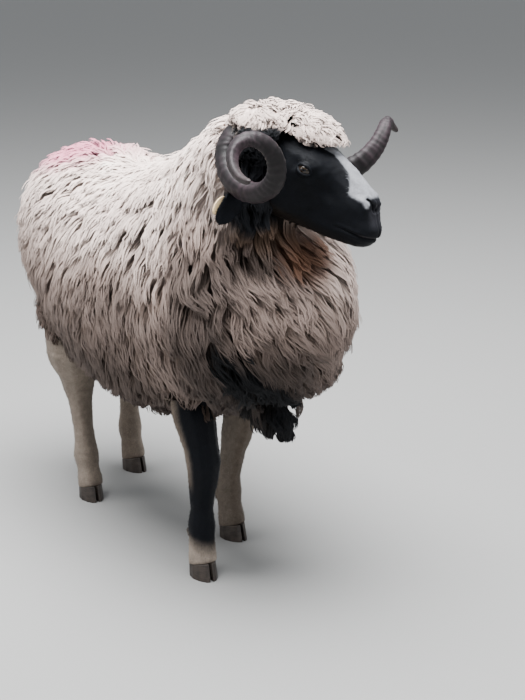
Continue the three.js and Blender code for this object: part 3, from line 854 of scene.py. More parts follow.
def scatter(rng, solids, spacing):
    """Roots over the outside of some solids, about evenly spaced: their faces, places and normals."""
    chance = face_area * np.isin(face_solid, solids)
    count = int(chance.sum() / spacing**2 * 2.6)
    face = rng.choice(len(chance), count, p=chance / chance.sum())
    u, v = rng.random((2, count))
    flip = u + v > 1
    u[flip], v[flip] = 1 - u[flip], 1 - v[flip]
    c = fleece_points[form_faces[face]]
    place = c[:, 0] + u[:, None] * (c[:, 1] - c[:, 0]) + v[:, None] * (c[:, 2] - c[:, 0])
    tree = tree_of(place)
    keep = np.ones(count, bool)
    for i, p in enumerate(place):
        if keep[i]:
            for _, j, _ in tree.find_range(p, spacing * 0.88):
                if j > i:
                    keep[j] = False
    return face[keep], place[keep]


def lie(co, n):
    """Which way the wool hangs at a place, before it is laid on to the surface."""
    x, y, z = co.T
    way = np.zeros_like(co)
    way[:, 2] = -1
    way[:, 0] = np.interp(x, [-0.55, -0.3, -0.1, 0.05, 0.2, 0.4], [-0.22, -0.08, 0.10, 0.20, 0.36, 0.42])
    way[:, 0] -= 0.5 * smoothstep(0.75, 1.0, n[:, 2])
    way[:, 1] = 0.55 * np.tanh(y / 0.05) * smoothstep(0.2, 0.9, n[:, 2])
    # the mane sweeps across the breast towards the side the head is turned to
    way[:, 1] += 0.5 * smoothstep(0.26, 0.38, x) * smoothstep(0.72, 0.64, z) * smoothstep(0.34, 0.46, z)
    # round the head the wool stands away from the cheeks
    from_cheeks = co - from_head([[40, 0, -20]])
    near = np.linalg.norm(from_cheeks, axis=1)
    way += from_cheeks / near[:, None] * (0.7 * smoothstep(0.20, 0.10, near))[:, None]
    return way


# how bare the coat is: the face fully, the lower legs in part
face_bare = 1.0 * np.isin(face_solid, HEAD_SOLIDS)
face_bare += 0.42 * (np.isin(face_solid, LEG_SOLIDS) & (corner[:, :, 2].mean(1) < 0.42))


def hanging(
    rng, face, place, length, lift, wander=0.16, steps=9, lie=lie, hang=0.010, fringe=0.014, soon=2.2,
    lock=0.045, join=0.5,
):
    """The middle lines of staples that lie along the fleece from the hide outwards, with their normals.

    A staple wanders off the lie, hangs at most so far below the belly, and ends a fringe's length out over
    the bare face. With a higher soon it is sooner at the outside. Staples join in locks of a size."""
    count = len(place)
    soon = np.broadcast_to(soon, (count,))
    outside = np.empty((count, steps, 3))
    over = np.zeros((count, steps))
    line = np.empty((count, steps, 3))
    up = np.empty((count, steps, 3))
    q, n, d = place.copy(), face_normal[face].copy(), face_depth[face].copy()
    turn = rng.normal(0, wander, count)
    under = smoothstep(-0.35, -0.8, n[:, 2])
    length = length * (1 - under) + 0.014 * under
    for k in range(steps):
        s = k / (steps - 1)
        line[:, k] = q - n * (d * (1 - s) ** soon)[:, None] + n * (lift * s**2)[:, None]
        outside[:, k] = q
        up[:, k] = n
        way = lie(q, n)
        free = smoothstep(-0.3, -0.75, n[:, 2])
        flat = way - n * np.sum(way * n, 1)[:, None] * (1 - free)[:, None]
        flat /= np.maximum(np.linalg.norm(flat, axis=1), 1e-6)[:, None]
        flat = flat + np.cross(n, flat) * (turn * (0.4 + s))[:, None]
        q = q + flat * (length / (steps - 1))[:, None]
        for i in range(count):
            spot, _, f, _ = form_tree.find_nearest(q[i])
            away = q[i] - np.array(spot)
            far = np.linalg.norm(away)
            if free[i] < 0.02 or far < 1e-6:
                q[i] = spot
            else:
                q[i] = np.array(spot) + away * (min(far * free[i], hang) / far)
            n[i] = 0.5 * n[i] + 0.5 * face_normal[f]
            d[i] = face_depth[f]
            if k + 1 < steps:
                over[i, k + 1] = over[i, k] + face_bare[f] * length[i] / (steps - 1)
        n /= np.linalg.norm(n, axis=1)[:, None]
    # a staple ends soon after it runs out over the bare face
    end = (over < fringe * rng.uniform(0.4, 1.4, count)[:, None]).sum(1) / steps
    # staples draw together into larger locks
    leader = np.full(count, -1)
    tree = tree_of(place)
    for i in rng.permutation(count):
        if leader[i] < 0:
            for _, j, _ in tree.find_range(place[i], lock * rng.uniform(0.4, 0.75)):
                if leader[j] < 0:
                    leader[j] = i
    share = np.broadcast_to(join, (count,))[:, None] * np.linspace(0, 1, steps)[None] ** 1.6
    line = line + (line[leader] - line) * share[..., None]
    return line, up, end, outside, leader


def along_line(line, s):
    """Values of each staple's line at shares s of its length, for strands in the same order."""
    steps = line.shape[1]
    at = s * (steps - 1)
    low = np.clip(np.floor(at).astype(int), 0, steps - 2)
    part = (at - low)[..., None]
    row = np.arange(len(line))[:, None]
    return line[row, low] * (1 - part) + line[row, low + 1] * part


def unit(v):
    """The same directions, one long."""
    return v / np.maximum(np.linalg.norm(v, axis=-1), 1e-9)[..., None]


# places all along both horns, to find what strands meet
HORN_SPOTS, HORN_SIZES, HORN_SHARES = [], [], []
for horn in HORNS.values():
    t = np.linspace(-0.05, 0.99, 140)
    HORN_SPOTS.append(horn_line(horn, t * horn["length"]))
    HORN_SIZES.append(horn_radius(t))
    HORN_SHARES.append(t)
HORN_SPOTS, HORN_SIZES, HORN_SHARES = (np.concatenate(v) for v in (HORN_SPOTS, HORN_SIZES, HORN_SHARES))
horn_tree = tree_of(HORN_SPOTS)


def round_the_horns(path, normal):
    """Lays strands over the horns' roots. Says where they meet a horn or bare face, or lie in the head."""
    shape = path.shape[:2]
    co, n = path.reshape(-1, 3).copy(), normal.reshape(-1, 3)
    p, way = in_head(co), n @ HEAD_TURN
    met = np.zeros(len(co), bool)
    inside = np.zeros(len(co), bool)
    for i in np.flatnonzero(np.abs(p).max(1) < 300):
        _, j, distance = horn_tree.find(p[i])
        room = HORN_SIZES[j] + 2.5
        if distance < room:
            if HORN_SHARES[j] < 0.05:
                v = p[i] - HORN_SPOTS[j]
                across = v @ way[i]
                co[i] += n[i] * (np.sqrt(across**2 - v @ v + (room + 1) ** 2) - across) / 1000
            else:
                met[i] = True
        spot, out, _, distance = head_tree.find_nearest(co[i], 0.15)
        if spot is not None:
            inside[i] = (Vector(co[i]) - spot).dot(out) < 0.0006
    q = one_side(p)
    bare = np.linalg.norm(q - EYE_PLACE, axis=1) < 25
    # the forelock ends in a line across the brow
    brow = np.interp(p[:, 0], [40, 55, 77, 95, 105, 113, 125], [56, 53, 50, 51, 56, 60, 66])
    bare |= (p[:, 0] > 42) & (p[:, 0] < 200) & (p[:, 2] < brow) & (p[:, 2] > -20) & (np.abs(p[:, 1]) < 75)
    return co.reshape(path.shape), met.reshape(shape), bare.reshape(shape), inside.reshape(shape)


def bunched(rng, line, up, end, leader, length, each, radius, wave, amount, rings, close, uneven, core_size):
    """Splits each staple into strands that draw together to its tip and share its waves."""
    count = len(line)
    owner = np.repeat(np.arange(count), each)
    m = len(owner)
    end = (1 - uneven * rng.random(m) ** 1.5) * end[owner]
    loose = rng.random(m) < 0.3
    ring = (radius * np.exp(rng.normal(0, 0.2, count)))[owner] * np.sqrt(rng.random(m)) * (1 + 0.5 * loose)
    # the first strand of each staple is its broad core of underwool
    core = (np.arange(m) % each == 0) & (core_size > 0)
    ring[core] *= 0.2
    end[core] *= 0.84
    close = close[owner, None] * np.where(loose, 0.25, rng.uniform(0.75, 1.1, m))[:, None]
    angle = rng.uniform(0, 2 * np.pi, m)
    phase = (rng.uniform(0, 2 * np.pi, count)[leader] + rng.normal(0, 0.5, count))[owner]
    phase += rng.normal(0, 0.35, m) + 1.5 * loose
    size = (amount * rng.uniform(0.7, 1.3, count))[owner]
    spaced = 1 - (1 - np.linspace(0, 1, rings + 1)) ** 1.25
    keep = np.ones(m, bool)
    for attempt in range(2):
        s = spaced[None, :] * end[:, None]
        path = along_line(line[owner], s)
        normal = unit(along_line(up[owner], s))
        along = unit(np.gradient(path, axis=1))
        across = unit(np.cross(normal, along))
        out = np.cross(along, across)
        gather = 1 - close * s**2.0
        swing = 2 * np.pi * s * (length / wave)[owner][:, None] + phase[:, None]
        grown = size[:, None] * smoothstep(0, 0.5, s)
        sideways = (ring * np.cos(angle))[:, None] * gather + grown * np.sin(swing)
        outwards = (ring * 0.5 * np.sin(angle))[:, None] * gather + 0.45 * grown * np.cos(swing)
        outwards[core] -= 0.0016
        path = path + across * sideways[..., None] + out * outwards[..., None]
        path, met, bare, inside = round_the_horns(path, normal)
        if attempt == 0:
            # a strand runs into a horn, an ear or the face, but stops short of the brow and eyes
            started = np.cumsum(~inside, axis=1) > 0
            met |= inside & started
            first = np.where(met.any(1), met.argmax(1), rings + 1)
            clear = np.where(bare.any(1), bare.argmax(1) - 1, rings + 1)
            stop = np.minimum(first, clear)
            keep = (stop > 1) & started[:, -1]
            short = stop <= rings
            end[short] = s[short, stop[short]]
            keep &= end > 0.25
            keep &= ~(core & short)
    return path[keep], across[keep], out[keep], normal[keep], s[keep], owner[keep], core[keep]


# the size of a strand's patch on the unwrap
BAKE_PATCH = 0.003


def unwrapped(co):
    """Where a place on the hide lies on its unwrap: the body, the head and each leg are opened out flat."""
    p = in_head(co)
    body_u = 0.02 + 0.58 * (np.arctan2(co[:, 1], co[:, 2] - 0.55) / (2 * np.pi) + 0.5)
    body_v = 0.02 + 0.96 * np.clip((co[:, 0] + 0.62) / 1.12, 0, 1)
    head_u = 0.64 + 0.34 * (np.arctan2(p[:, 1], p[:, 2] + 14) / (2 * np.pi) + 0.5)
    head_v = 0.50 + 0.48 * np.clip((p[:, 0] + 90) / 350, 0, 1)
    reach = from_legs(co)
    leg = np.argmin(reach, 1)
    middle = np.array([LEG_LINES[name][2][:2] for name in LEG_NAMES])[leg]
    turn = np.arctan2(co[:, 1] - middle[:, 1], co[:, 0] - middle[:, 0]) / (2 * np.pi) + 0.5
    leg_u = 0.64 + 0.085 * (leg + turn)
    leg_v = 0.02 + 0.44 * np.clip(co[:, 2] / 0.42, 0, 1)
    on_head = (np.linalg.norm((p - (90, 0, 0)) / (190, 110, 110), axis=1) < 1) & (co[:, 2] > 0.6)
    on_leg = (reach.min(1) < 0.055) & (co[:, 2] < 0.40)
    u = np.where(on_head, head_u, np.where(on_leg, leg_u, body_u))
    v = np.where(on_head, head_v, np.where(on_leg, leg_v, body_v))
    return np.stack([u, v], 1)


def strand_mesh(name, path, across, out, normal, soft, width, flat, colours, roots, material):
    """One piece of closed three-sided strands. The last point of each path is its tip."""
    m, rings = path.shape[0], path.shape[1] - 1
    flat = np.broadcast_to(flat, (m,))
    each = rings * 3 + 1
    verts = np.empty((m, each, 3), np.float32)
    turns = [2 * np.pi * a / 3 + np.pi / 2 for a in range(3)]
    for a, turn in enumerate(turns):
        around = across * (math.cos(turn) * width)[..., None]
        around = around + out * (math.sin(turn) * width * flat[:, None])[..., None]
        verts[:, a : each - 1 : 3] = path[:, :-1] + around[:, :-1]
    verts[:, -1] = path[:, -1]
    quads, flat_uv = [], []
    for k in range(rings - 1):
        for a in range(3):
            b = (a + 1) % 3
            quads.append([k * 3 + a, k * 3 + b, k * 3 + 3 + b, k * 3 + 3 + a])
            flat_uv.append([(a, k), (a + 1, k), (a + 1, k + 1), (a, k + 1)])
    tips, tip_uv = [], []
    for a in range(3):
        tips.append([(rings - 1) * 3 + a, (rings - 1) * 3 + (a + 1) % 3, each - 1])
        tip_uv.append([(a, rings - 1), (a + 1, rings - 1), (a + 0.5, rings)])
    tips.append([2, 1, 0])
    tip_uv.append([(2, 0), (1, 0), (0, 0)])
    loops = np.array([i for face in quads + tips for i in face])
    place = np.array([uv for face in flat_uv + tip_uv for uv in face], float)
    totals = np.array([len(face) for face in quads + tips])
    base = (np.arange(m) * each)[:, None]
    mesh = bpy.data.meshes.new(name)
    mesh.vertices.add(m * each)
    mesh.vertices.foreach_set("co", verts.ravel())
    mesh.loops.add(m * len(loops))
    mesh.loops.foreach_set("vertex_index", (base + loops).astype(np.int32).ravel())
    mesh.polygons.add(m * len(totals))
    starts = (np.arange(m) * len(loops))[:, None] + np.concatenate([[0], np.cumsum(totals)[:-1]])
    mesh.polygons.foreach_set("loop_start", starts.astype(np.int32).ravel())
    mesh.polygons.foreach_set("use_smooth", np.ones(m * len(totals), bool))
    mesh.update(calc_edges=True)
    share = place / (3, rings)
    bake = unwrapped(roots)[:, None, :] + (share[None] - 0.5) * BAKE_PATCH
    mesh.uv_layers.new(name="OFBake").data.foreach_set("uv", bake.astype(np.float32).ravel())
    fibre = np.broadcast_to(share, (m, len(loops), 2)) + np.random.default_rng(5).random((m, 1, 2)) * 7
    mesh.uv_layers.new(name="fibre").data.foreach_set("uv", fibre.astype(np.float32).ravel())
    # softened normals, so that a lock takes the light as one body of wool
    around = np.stack([across * math.cos(turn) + out * math.sin(turn) for turn in turns], 2)[:, :-1]
    soft = np.broadcast_to(soft, (m,))[:, None, None, None]
    bent = around * (1 - soft) + normal[:, :-1, None] * soft
    bent = np.concatenate([bent.reshape(m, -1, 3), normal[:, -1:]], 1).reshape(-1, 3)
    bent /= np.linalg.norm(bent, axis=1)[:, None]
    mesh.normals_split_custom_set_from_vertices(bent.astype(np.float32))
    shade = np.repeat(colours[:, :-1], 3, axis=1)
    shade = np.concatenate([shade, colours[:, -1:]], 1).reshape(-1, 3)
    paint(mesh, shade)
    mesh.materials.append(material)
    piece = added(name, mesh)
    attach(piece, "root")


def wool_material(name, rough=0.85, sheen=0.06, lines=0.6):
    """Wool or hair in its markings and painted shade, with fine lines along each strand."""
    material, nodes, links, surface = shader(name, rough, 0.2, sheen)
    fibre = nodes.new("ShaderNodeUVMap")
    fibre.uv_map = "fibre"
    stretch = nodes.new("ShaderNodeMapping")
    stretch.inputs["Scale"].default_value = (16, 2.2, 1)
    links.new(fibre.outputs["UV"], stretch.inputs["Vector"])
    fine = noise(nodes, links, stretch.outputs["Vector"], 3, 2)
    links.new(varied(nodes, links, marks_of(nodes), fine, 0.78, 1.17), surface.inputs["Base Color"])
    raised(nodes, links, surface, fine, lines, 0.001)
    return material


WOOL = wool_material("wool")


def staples(
    name, rng, face, place, length, each, radius, wave, amount, width, rings=6, close=0.8, uneven=0.16,
    lift=0.0, inside=0.6, soft=0.55, flat=0.55, speckle=0.07, core_size=0.5, colour_of=coat_colour,
    slot="wool", **more,
):
    """Grows one piece of fleece from its roots. Most settings may be given for each staple.

    Each staple has so many strands within a radius at its root. They wave by an amount, and close towards its
    tip. Inside is how light the roots are, as painted shade deep in the fleece, and soft how far the strands
    take the light as one body."""
    count = len(place)
    radius, wave, amount, width, inside, soft, close = (
        np.broadcast_to(np.asarray(v, float), (count,))
        for v in (radius, wave, amount, width, inside, soft, close)
    )
    width = width * few**0.5
    raise_by = lift + rng.uniform(-0.0015, 0.0045, count)
    line, up, end, outside, leader = hanging(rng, face, place, length, raise_by, **more)
    path, across, out, normal, s, owner, core = bunched(
        rng, line, up, end, leader, length, each, radius, wave, amount, rings, close, uneven, core_size
    )
    shades = colour_of(outside.reshape(-1, 3)).reshape(line.shape)
    # painted shade deep in the fleece: each strand darker and browner towards its root
    deep = inside[owner][:, None]
    rise = deep + (1 - deep) * smoothstep(0.1, 0.75, s)
    lower = (1 - rise) / (1 - deep + 1e-6)
    tone = rng.normal(1, 0.07, count)[leader] * rng.normal(1, 0.04, count)
    rise = rise * rng.normal(1, speckle, len(owner))[:, None] * tone[owner][:, None]
    warm = np.array([1.0, 0.90, 0.78])[None, None] ** ((1 - deep)[..., None] * 1.5 * lower[..., None])
    colours = along_line(shades[owner], s) * rise[..., None] * warm
    ends = np.linspace(0, 1, s.shape[1])
    shape = (0.8 + 0.35 * np.sin(np.pi * ends)) * (1 - 0.7 * ends**3)
    thick = (width[owner] * rng.uniform(0.75, 1.25, len(owner)))[:, None] * shape[None]
    belly = 0.75 + 0.45 * np.sin(np.pi * ends)
    thick[core] = core_size * radius[owner[core], None] * belly * (1 - 0.35 * ends**3)
    flat = np.where(core, 0.3, flat)
    # the core lies under the strands, so it is a little darker: painted shade
    colours[core] *= 0.92
    strand_mesh(name, path, across, out, normal, soft[owner], thick, flat, colours, place[owner], WOOL)


few = 1
rng = np.random.default_rng(7)
body_face, body_place = scatter(rng, ("trunk", "neck"), spacing=0.0170)
ruff = smoothstep(150, 95, np.linalg.norm((in_head(body_place) - (40, 0, -30)) * (0.8, 1, 1), axis=1))
x, y, z = body_place.T
top = smoothstep(0.62, 0.72, z) * smoothstep(0.30, 0.12, x)
body_length = np.interp(x, [-0.5, -0.1, 0.15, 0.3], [0.070, 0.075, 0.092, 0.105])
mane = smoothstep(0.14, 0.24, x) * smoothstep(0.70, 0.62, z)
body_length *= (1 - 0.30 * top) * (1 - 0.45 * ruff) * (1 - 0.2 * cheek_share(body_place))
body_length *= rng.uniform(0.75, 1.2, len(x))
# how light the roots are, as painted shade deep in the fleece: darker low on the body and at the front
inside = 0.95 - 0.22 * smoothstep(0.64, 0.54, z) - 0.30 * smoothstep(0.56, 0.44, z)
inside -= 0.1 * smoothstep(0.0, 0.2, x) * smoothstep(0.66, 0.6, z)
# where one piece of the fleece ends and the next begins, along, up and across the body
RUMP_END, FLANK_END, SHOULDER = -0.36, -0.08, 0.12
BACK_LEVEL, BREAST_LEVEL, BREAST_MIDDLE = 0.655, 0.58, -0.02
flank = (x >= RUMP_END) & (x < FLANK_END) & (z <= BACK_LEVEL)
ribs = (x >= FLANK_END) & (x < SHOULDER) & (z <= BACK_LEVEL)
neck = (x >= SHOULDER) & (z > BREAST_LEVEL)
chest = (x >= SHOULDER) & (z <= BREAST_LEVEL)
PARTS = {
    "fleece_rump": x < RUMP_END,
    "fleece_back": (x >= RUMP_END) & (x < SHOULDER) & (z > BACK_LEVEL),
    "fleece_flank_right": flank & (y < 0),
    "fleece_flank_left": flank & (y >= 0),
    "fleece_side_right": ribs & (y < 0),
    "fleece_side_left": ribs & (y >= 0),
    "fleece_neck_right": neck & (y < BREAST_MIDDLE),
    "fleece_neck_left": neck & (y >= BREAST_MIDDLE),
    "fleece_chest_right": chest & (y < BREAST_MIDDLE),
    "fleece_chest_left": chest & (y >= BREAST_MIDDLE),
}
for name, chosen in PARTS.items():
    high = top[chosen]
    staples(
        name, rng, body_face[chosen], body_place[chosen], body_length[chosen], 12 // few,
        radius=0.0100 + 0.0025 * high,
        wave=rng.uniform(0.042, 0.06, len(high)) * (1 - 0.35 * high + 0.5 * mane[chosen]),
        amount=0.0034 - 0.0012 * high + 0.0016 * mane[chosen],
        width=0.0017 + 0.0003 * high,
        inside=inside[chosen],
        soft=0.78 + 0.17 * high,
        lift=-0.0015 * high,
        close=0.8 - 0.4 * high,
        soon=2.0 + 1.2 * high,
        join=0.42 - 0.25 * high + 0.26 * mane[chosen],
        wander=0.18,
        lock=0.055,
        core_size=0.6,
        rings=5 if name == "fleece_back" else 6,
    )

# ---------------------------------------------------------------- crown, tail, brisket and thigh wool
# Short curly wool over the poll, combed forward between the horns, the long wool of the dock, the black
# tuft that hangs between the forelegs, and the short ends of the fleece on the thighs and the pouch.


def crown_lie(co, n):
    p = in_head(co)
    ahead = np.where(p[:, 0] > -42 + 10 * wobble(p, 0.12, 51), 1.0, -0.8)
    way = np.stack([ahead, p[:, 1] / 55 + 0.2 * wobble(p, 0.09, 52), np.full(len(p), -0.3)], 1)
    return way @ HEAD_TURN.T


def crown_colour(co):
    return coat_colour(co) * 0.79


def crown_share(co):
    """The wool of the crown is shorter by the cheeks."""
    return 1 - 0.55 * cheek_share(co)


def tail_lie(co, n):
    return np.tile([-0.12, 0.0, -1.0], (len(co), 1))


def brisket_colour(co):
    tint = 0.5 + 0.5 * wobble(co, 40, 8)
    return mixed(np.tile(BLACK * 0.9, (len(co), 1)), BROWN_BLACK, tint * 0.25)


def thigh_top(co):
    """Where a thigh still bears wool, with an uneven edge."""
    return co[:, 2] > np.where(co[:, 0] < 0, 0.385, 0.40) + 0.02 * rng.random(len(co))


def smaller(
    name, solids, spacing, length, each, radius, wave, amount, width, wanted=None, share=None, **more,
):
    """Grows a smaller piece of wool, its lengths and waves drawn between two limits."""
    face, place = scatter(rng, solids, spacing)
    if wanted:
        kept = wanted(place)
        face, place = face[kept], place[kept]
    length = rng.uniform(*length, len(place)) * (share(place) if share else 1)
    wave = rng.uniform(*wave, len(place))
    staples(name, rng, face, place, length, each // few, radius, wave, amount, width, **more)


smaller(
    "fleece_crown", ("crown",), spacing=0.0103, length=(0.022, 0.034), each=12, radius=0.0075,
    wave=(0.014, 0.020), amount=0.0023, width=0.0016, share=crown_share, colour_of=crown_colour,
    lie=crown_lie, lift=-0.001, wander=0.6, fringe=0.006, close=0.3, inside=0.92, soft=0.9, core_size=0,
    lock=0.03, join=0.3,
)
smaller(
    "fleece_tail", ("tail",), spacing=0.016, length=(0.06, 0.08), each=8, radius=0.009,
    wave=(0.04, 0.06), amount=0.0025, width=0.0022, lie=tail_lie, inside=0.5,
)
smaller(
    "fleece_brisket", ("brisket",), spacing=0.0125, length=(0.04, 0.06), each=9, radius=0.007,
    wave=(0.04, 0.06), amount=0.0025, width=0.0018, colour_of=brisket_colour, lift=0.001, inside=0.7,
    slot="dark_wool",
)
smaller(
    "fleece_thighs", tuple("upper_leg_" + leg for leg in LEG_NAMES), spacing=0.0135, length=(0.024, 0.036),
    each=9, radius=0.0075, wave=(0.04, 0.05), amount=0.0015, width=0.0017, wanted=thigh_top, inside=0.6,
)
smaller(
    "fleece_pouch", ("pouch",), spacing=0.012, length=(0.014, 0.02), each=6, radius=0.006,
    wave=(0.03, 0.05), amount=0.001, width=0.0015, inside=0.7,
)

# ---------------------------------------------------------------- eyes
# A wet ball with a bulging clear front over an amber iris and a level, slot-shaped pupil. It sits in the
# lids of the hide, and looks out to the side as a grazing animal's does. Millimetres of the head's frame.

BALL, CORNEA_RISE = 12.55, 0.9
# the iris and pupil, drawn on a ball of this radius
DRAWN_AT, IRIS, IRIS_RIM, SLOT_HALF, SLOT_RADIUS = 12.6, 7.9, 8.6, 3.2, 1.6


def eyeball(name, side, segments=72, rows=64):
    """One eyeball, its rings closest together at the front."""
    theta = np.pi * (np.arange(1, rows) / rows) ** 1.35
    phi = np.linspace(0, 2 * np.pi, segments, endpoint=False)
    level = np.array([0.95, -0.19, 0.16])
    level -= EYE_OUT * (level @ EYE_OUT)
    level /= np.linalg.norm(level)
    raised_by = np.cross(EYE_OUT, level)
    t, f = np.meshgrid(theta, phi, indexing="ij")
    way = (
        EYE_OUT * np.cos(t)[..., None]
        + level * (np.sin(t) * np.cos(f))[..., None]
        + raised_by * (np.sin(t) * np.sin(f))[..., None]
    ).reshape(-1, 3)
    way = np.concatenate([[EYE_OUT], way, [-EYE_OUT]])
    angle = np.concatenate([[0], t.ravel(), [np.pi]])
    across = np.concatenate([[0], (np.sin(t) * np.cos(f)).ravel(), [0]]) * DRAWN_AT
    upward = np.concatenate([[0], (np.sin(t) * np.sin(f)).ravel(), [0]]) * DRAWN_AT
    radius = BALL + CORNEA_RISE * smoothstep(0.72, 0.2, angle)
    p = EYE_PLACE + way * radius[:, None]
    p[:, 1] *= side
    faces = []
    last = len(way) - 1
    for i in range(segments):
        j = (i + 1) % segments
        faces.append((0, 1 + i, 1 + j))
        for k in range(rows - 2):
            a, b = 1 + k * segments, 1 + (k + 1) * segments
            faces.append((a + i, b + i, b + j, a + j))
        faces.append((last, 1 + (rows - 2) * segments + j, 1 + (rows - 2) * segments + i))
    mesh = bpy.data.meshes.new(name)
    mesh.from_pydata(from_head(p).tolist(), [], faces)
    turned_out(mesh)
    spokes = 0.5 + 0.5 * np.sin(np.arctan2(upward, across) * 31 + 2 * np.sin(angle * 9))
    iris = np.array([0.016, 0.009, 0.004]) * (0.75 + 0.5 * spokes[:, None])
    colour = np.tile([0.035, 0.024, 0.018], (len(p), 1))
    distance = np.hypot(across, upward)
    colour = mixed(colour, np.array([0.02, 0.014, 0.011]), smoothstep(IRIS_RIM, 8.0, distance))
    iris = mixed(iris, iris * 0.3, smoothstep(6.6, 7.8, distance))
    colour = np.where((distance < IRIS)[:, None], iris, colour)
    slot = np.maximum(np.abs(across) - SLOT_HALF, 0) ** 2 + upward**2
    pupil = smoothstep(SLOT_RADIUS + 0.15, SLOT_RADIUS - 0.15, np.sqrt(slot))
    colour = mixed(colour, np.array([0.003, 0.003, 0.004]), pupil)
    paint(mesh, colour)
    piece = active(added(name, mesh))
    bpy.ops.object.shade_smooth()
    return piece


material, nodes, links, surface = shader("eye", 0.06, 0.3)
surface.inputs["Coat Weight"].default_value = 0.2
surface.inputs["Coat Roughness"].default_value = 0.03
links.new(marks_of(nodes), surface.inputs["Base Color"])
for side, sign in (("right", -1), ("left", 1)):
    piece = eyeball("eyeball_" + side, sign)
    piece.data.materials.append(material)
    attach(piece, "root")
    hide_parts("eye_" + side)

# ---------------------------------------------------------------- hooves
# Two horny claws to a foot, worn round at the edges, with fine growth lines. They are remeshed copies of
# the hoof solids, and stand on the same flat soles.

HOOF_GRAIN, SOLE_LEVEL = 0.0012, 0.0012
material, nodes, links, surface = shader("hoof_horn", 0.5, 0.35)
where = nodes.new("ShaderNodeTexCoord").outputs["Object"]
squash = nodes.new("ShaderNodeMapping")
squash.inputs["Scale"].default_value = (60, 60, 420)
links.new(where, squash.inputs["Vector"])
lines = noise(nodes, links, squash.outputs["Vector"], 1, 3)
mottle = noise(nodes, links, where, 70, 3)
tone = nodes.new("ShaderNodeRGB")
tone.outputs[0].default_value = (0.03, 0.023, 0.019, 1)
shade = varied(nodes, links, tone.outputs[0], mottle, 0.6, 1.5)
links.new(varied(nodes, links, shade, lines, 0.75, 1.25), surface.inputs["Base Color"])
raised(nodes, links, surface, lines, 0.4, 0.0006)
for leg in LEG_NAMES:
    piece = remeshed(merged_copy("claws_" + leg, ["hoof_" + leg], 0.0), HOOF_GRAIN)
    sole = points_of(piece.data)[:, 2] < SOLE_LEVEL
    rounded(piece, 8)
    worn = points_of(piece.data)
    worn[sole, 2] = np.minimum(worn[sole, 2], SOLE_LEVEL)
    worn[:, 2] = np.maximum(worn[:, 2], 0.0)
    set_points(piece.data, worn)
    modified(piece, "DECIMATE", ratio=0.35)
    bpy.ops.object.shade_smooth()
    piece.data.materials.clear()
    piece.data.materials.append(material)
    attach(piece, "root")
    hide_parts("hoof_" + leg)

# ---------------------------------------------------------------- ear tag
# A small blank plate of moulded cream plastic with rounded edges, pinned through the right ear. It hangs a
# little lower here than its solid does.

TAG_DROP = (0.002, 0.0, -0.015)
piece = merged_copy("tag_plate", ["ear_tag"], 0.0)
set_points(piece.data, points_of(piece.data) + TAG_DROP)
modified(piece, "BEVEL", width=0.0007, segments=3, limit_method="ANGLE")
bpy.ops.object.shade_smooth_by_angle(angle=math.radians(40))
material, *_, surface = shader("tag_plastic", 0.45, 0.4)
surface.inputs["Base Color"].default_value = (0.62, 0.46, 0.26, 1)
piece.data.materials.clear()
piece.data.materials.append(material)
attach(piece, "root")
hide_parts("ear_tag")

# ---------------------------------------------------------------- short hair
# The bare parts are covered in close short hair. Small tapered tufts stand a little off the skin along the
# lie of the hair: back from the nose on the face, and down the legs.


def hair_lie(co, kind):
    """Which way the short hair lies."""
    if kind == "legs":
        return np.tile([-0.15, 0.0, -1.0], (len(co), 1))
    p = in_head(co)
    q = one_side(p)
    down = -0.35 - 0.4 * smoothstep(0, -50, p[:, 2])
    way = np.stack([np.full(len(p), -1.0), 0.25 * np.sign(p[:, 1]), down], 1)
    ear = (q[:, 1] > 56) & (q[:, 0] < 62)
    way[ear] = np.stack([np.full(ear.sum(), 0.12), 0.72 * np.sign(p[ear, 1]), np.full(ear.sum(), -0.66)], 1)
    return way @ HEAD_TURN.T


def hair_tufts(name, rng, kind, wanted, count, length, width):
    """Sets tufts on the hide where they are wanted, in the hide's colour with its painted light and shade."""
    mesh = hide.data
    tris = triangles_of(mesh)
    co, n = points_of(mesh), normals_of(mesh)
    shade = np.empty(len(co) * 4, np.float32)
    mesh.color_attributes["marks_and_painted_light"].data.foreach_get("color", shade)
    shade = shade.reshape(-1, 4)[:, :3].astype(float)
    middle = co[tris].mean(1)
    share = wanted(middle)
    chance = areas(co[tris]) * share
    face = rng.choice(len(tris), count, p=chance / chance.sum())
    w = rng.dirichlet((1, 1, 1), count)
    root = (co[tris[face]] * w[..., None]).sum(1)
    up = unit((n[tris[face]] * w[..., None]).sum(1))
    colour = (shade[tris[face]] * w[..., None]).sum(1) * rng.normal(1, 0.14, count)[:, None]
    way = hair_lie(root, kind)
    way = unit(way - up * (way * up).sum(1)[:, None])
    side = np.cross(up, way)
    way = unit(way + side * rng.normal(0, 0.22, count)[:, None])
    side = np.cross(up, way)
    size = length * rng.uniform(0.7, 1.25, count) * (0.55 + 0.45 * share[face])
    s = np.array([0.0, 0.55, 1.0])
    rise = np.array([-0.2, 0.11, 0.10])
    path = root[:, None] + way[:, None] * (size[:, None] * s)[..., None]
    path = path + up[:, None] * (size[:, None] * rise)[..., None]
    across = np.repeat(side[:, None], 3, 1)
    out = np.repeat(up[:, None], 3, 1)
    thick = width * rng.uniform(0.75, 1.25, count)[:, None] * np.array([1.0, 0.8, 0.0])
    colours = colour[:, None] * np.array([0.8, 1.0, 1.15])[None, :, None]
    strand_mesh(name, path, across, out, out, 0.9, thick, 0.5, colours, root, HAIR)


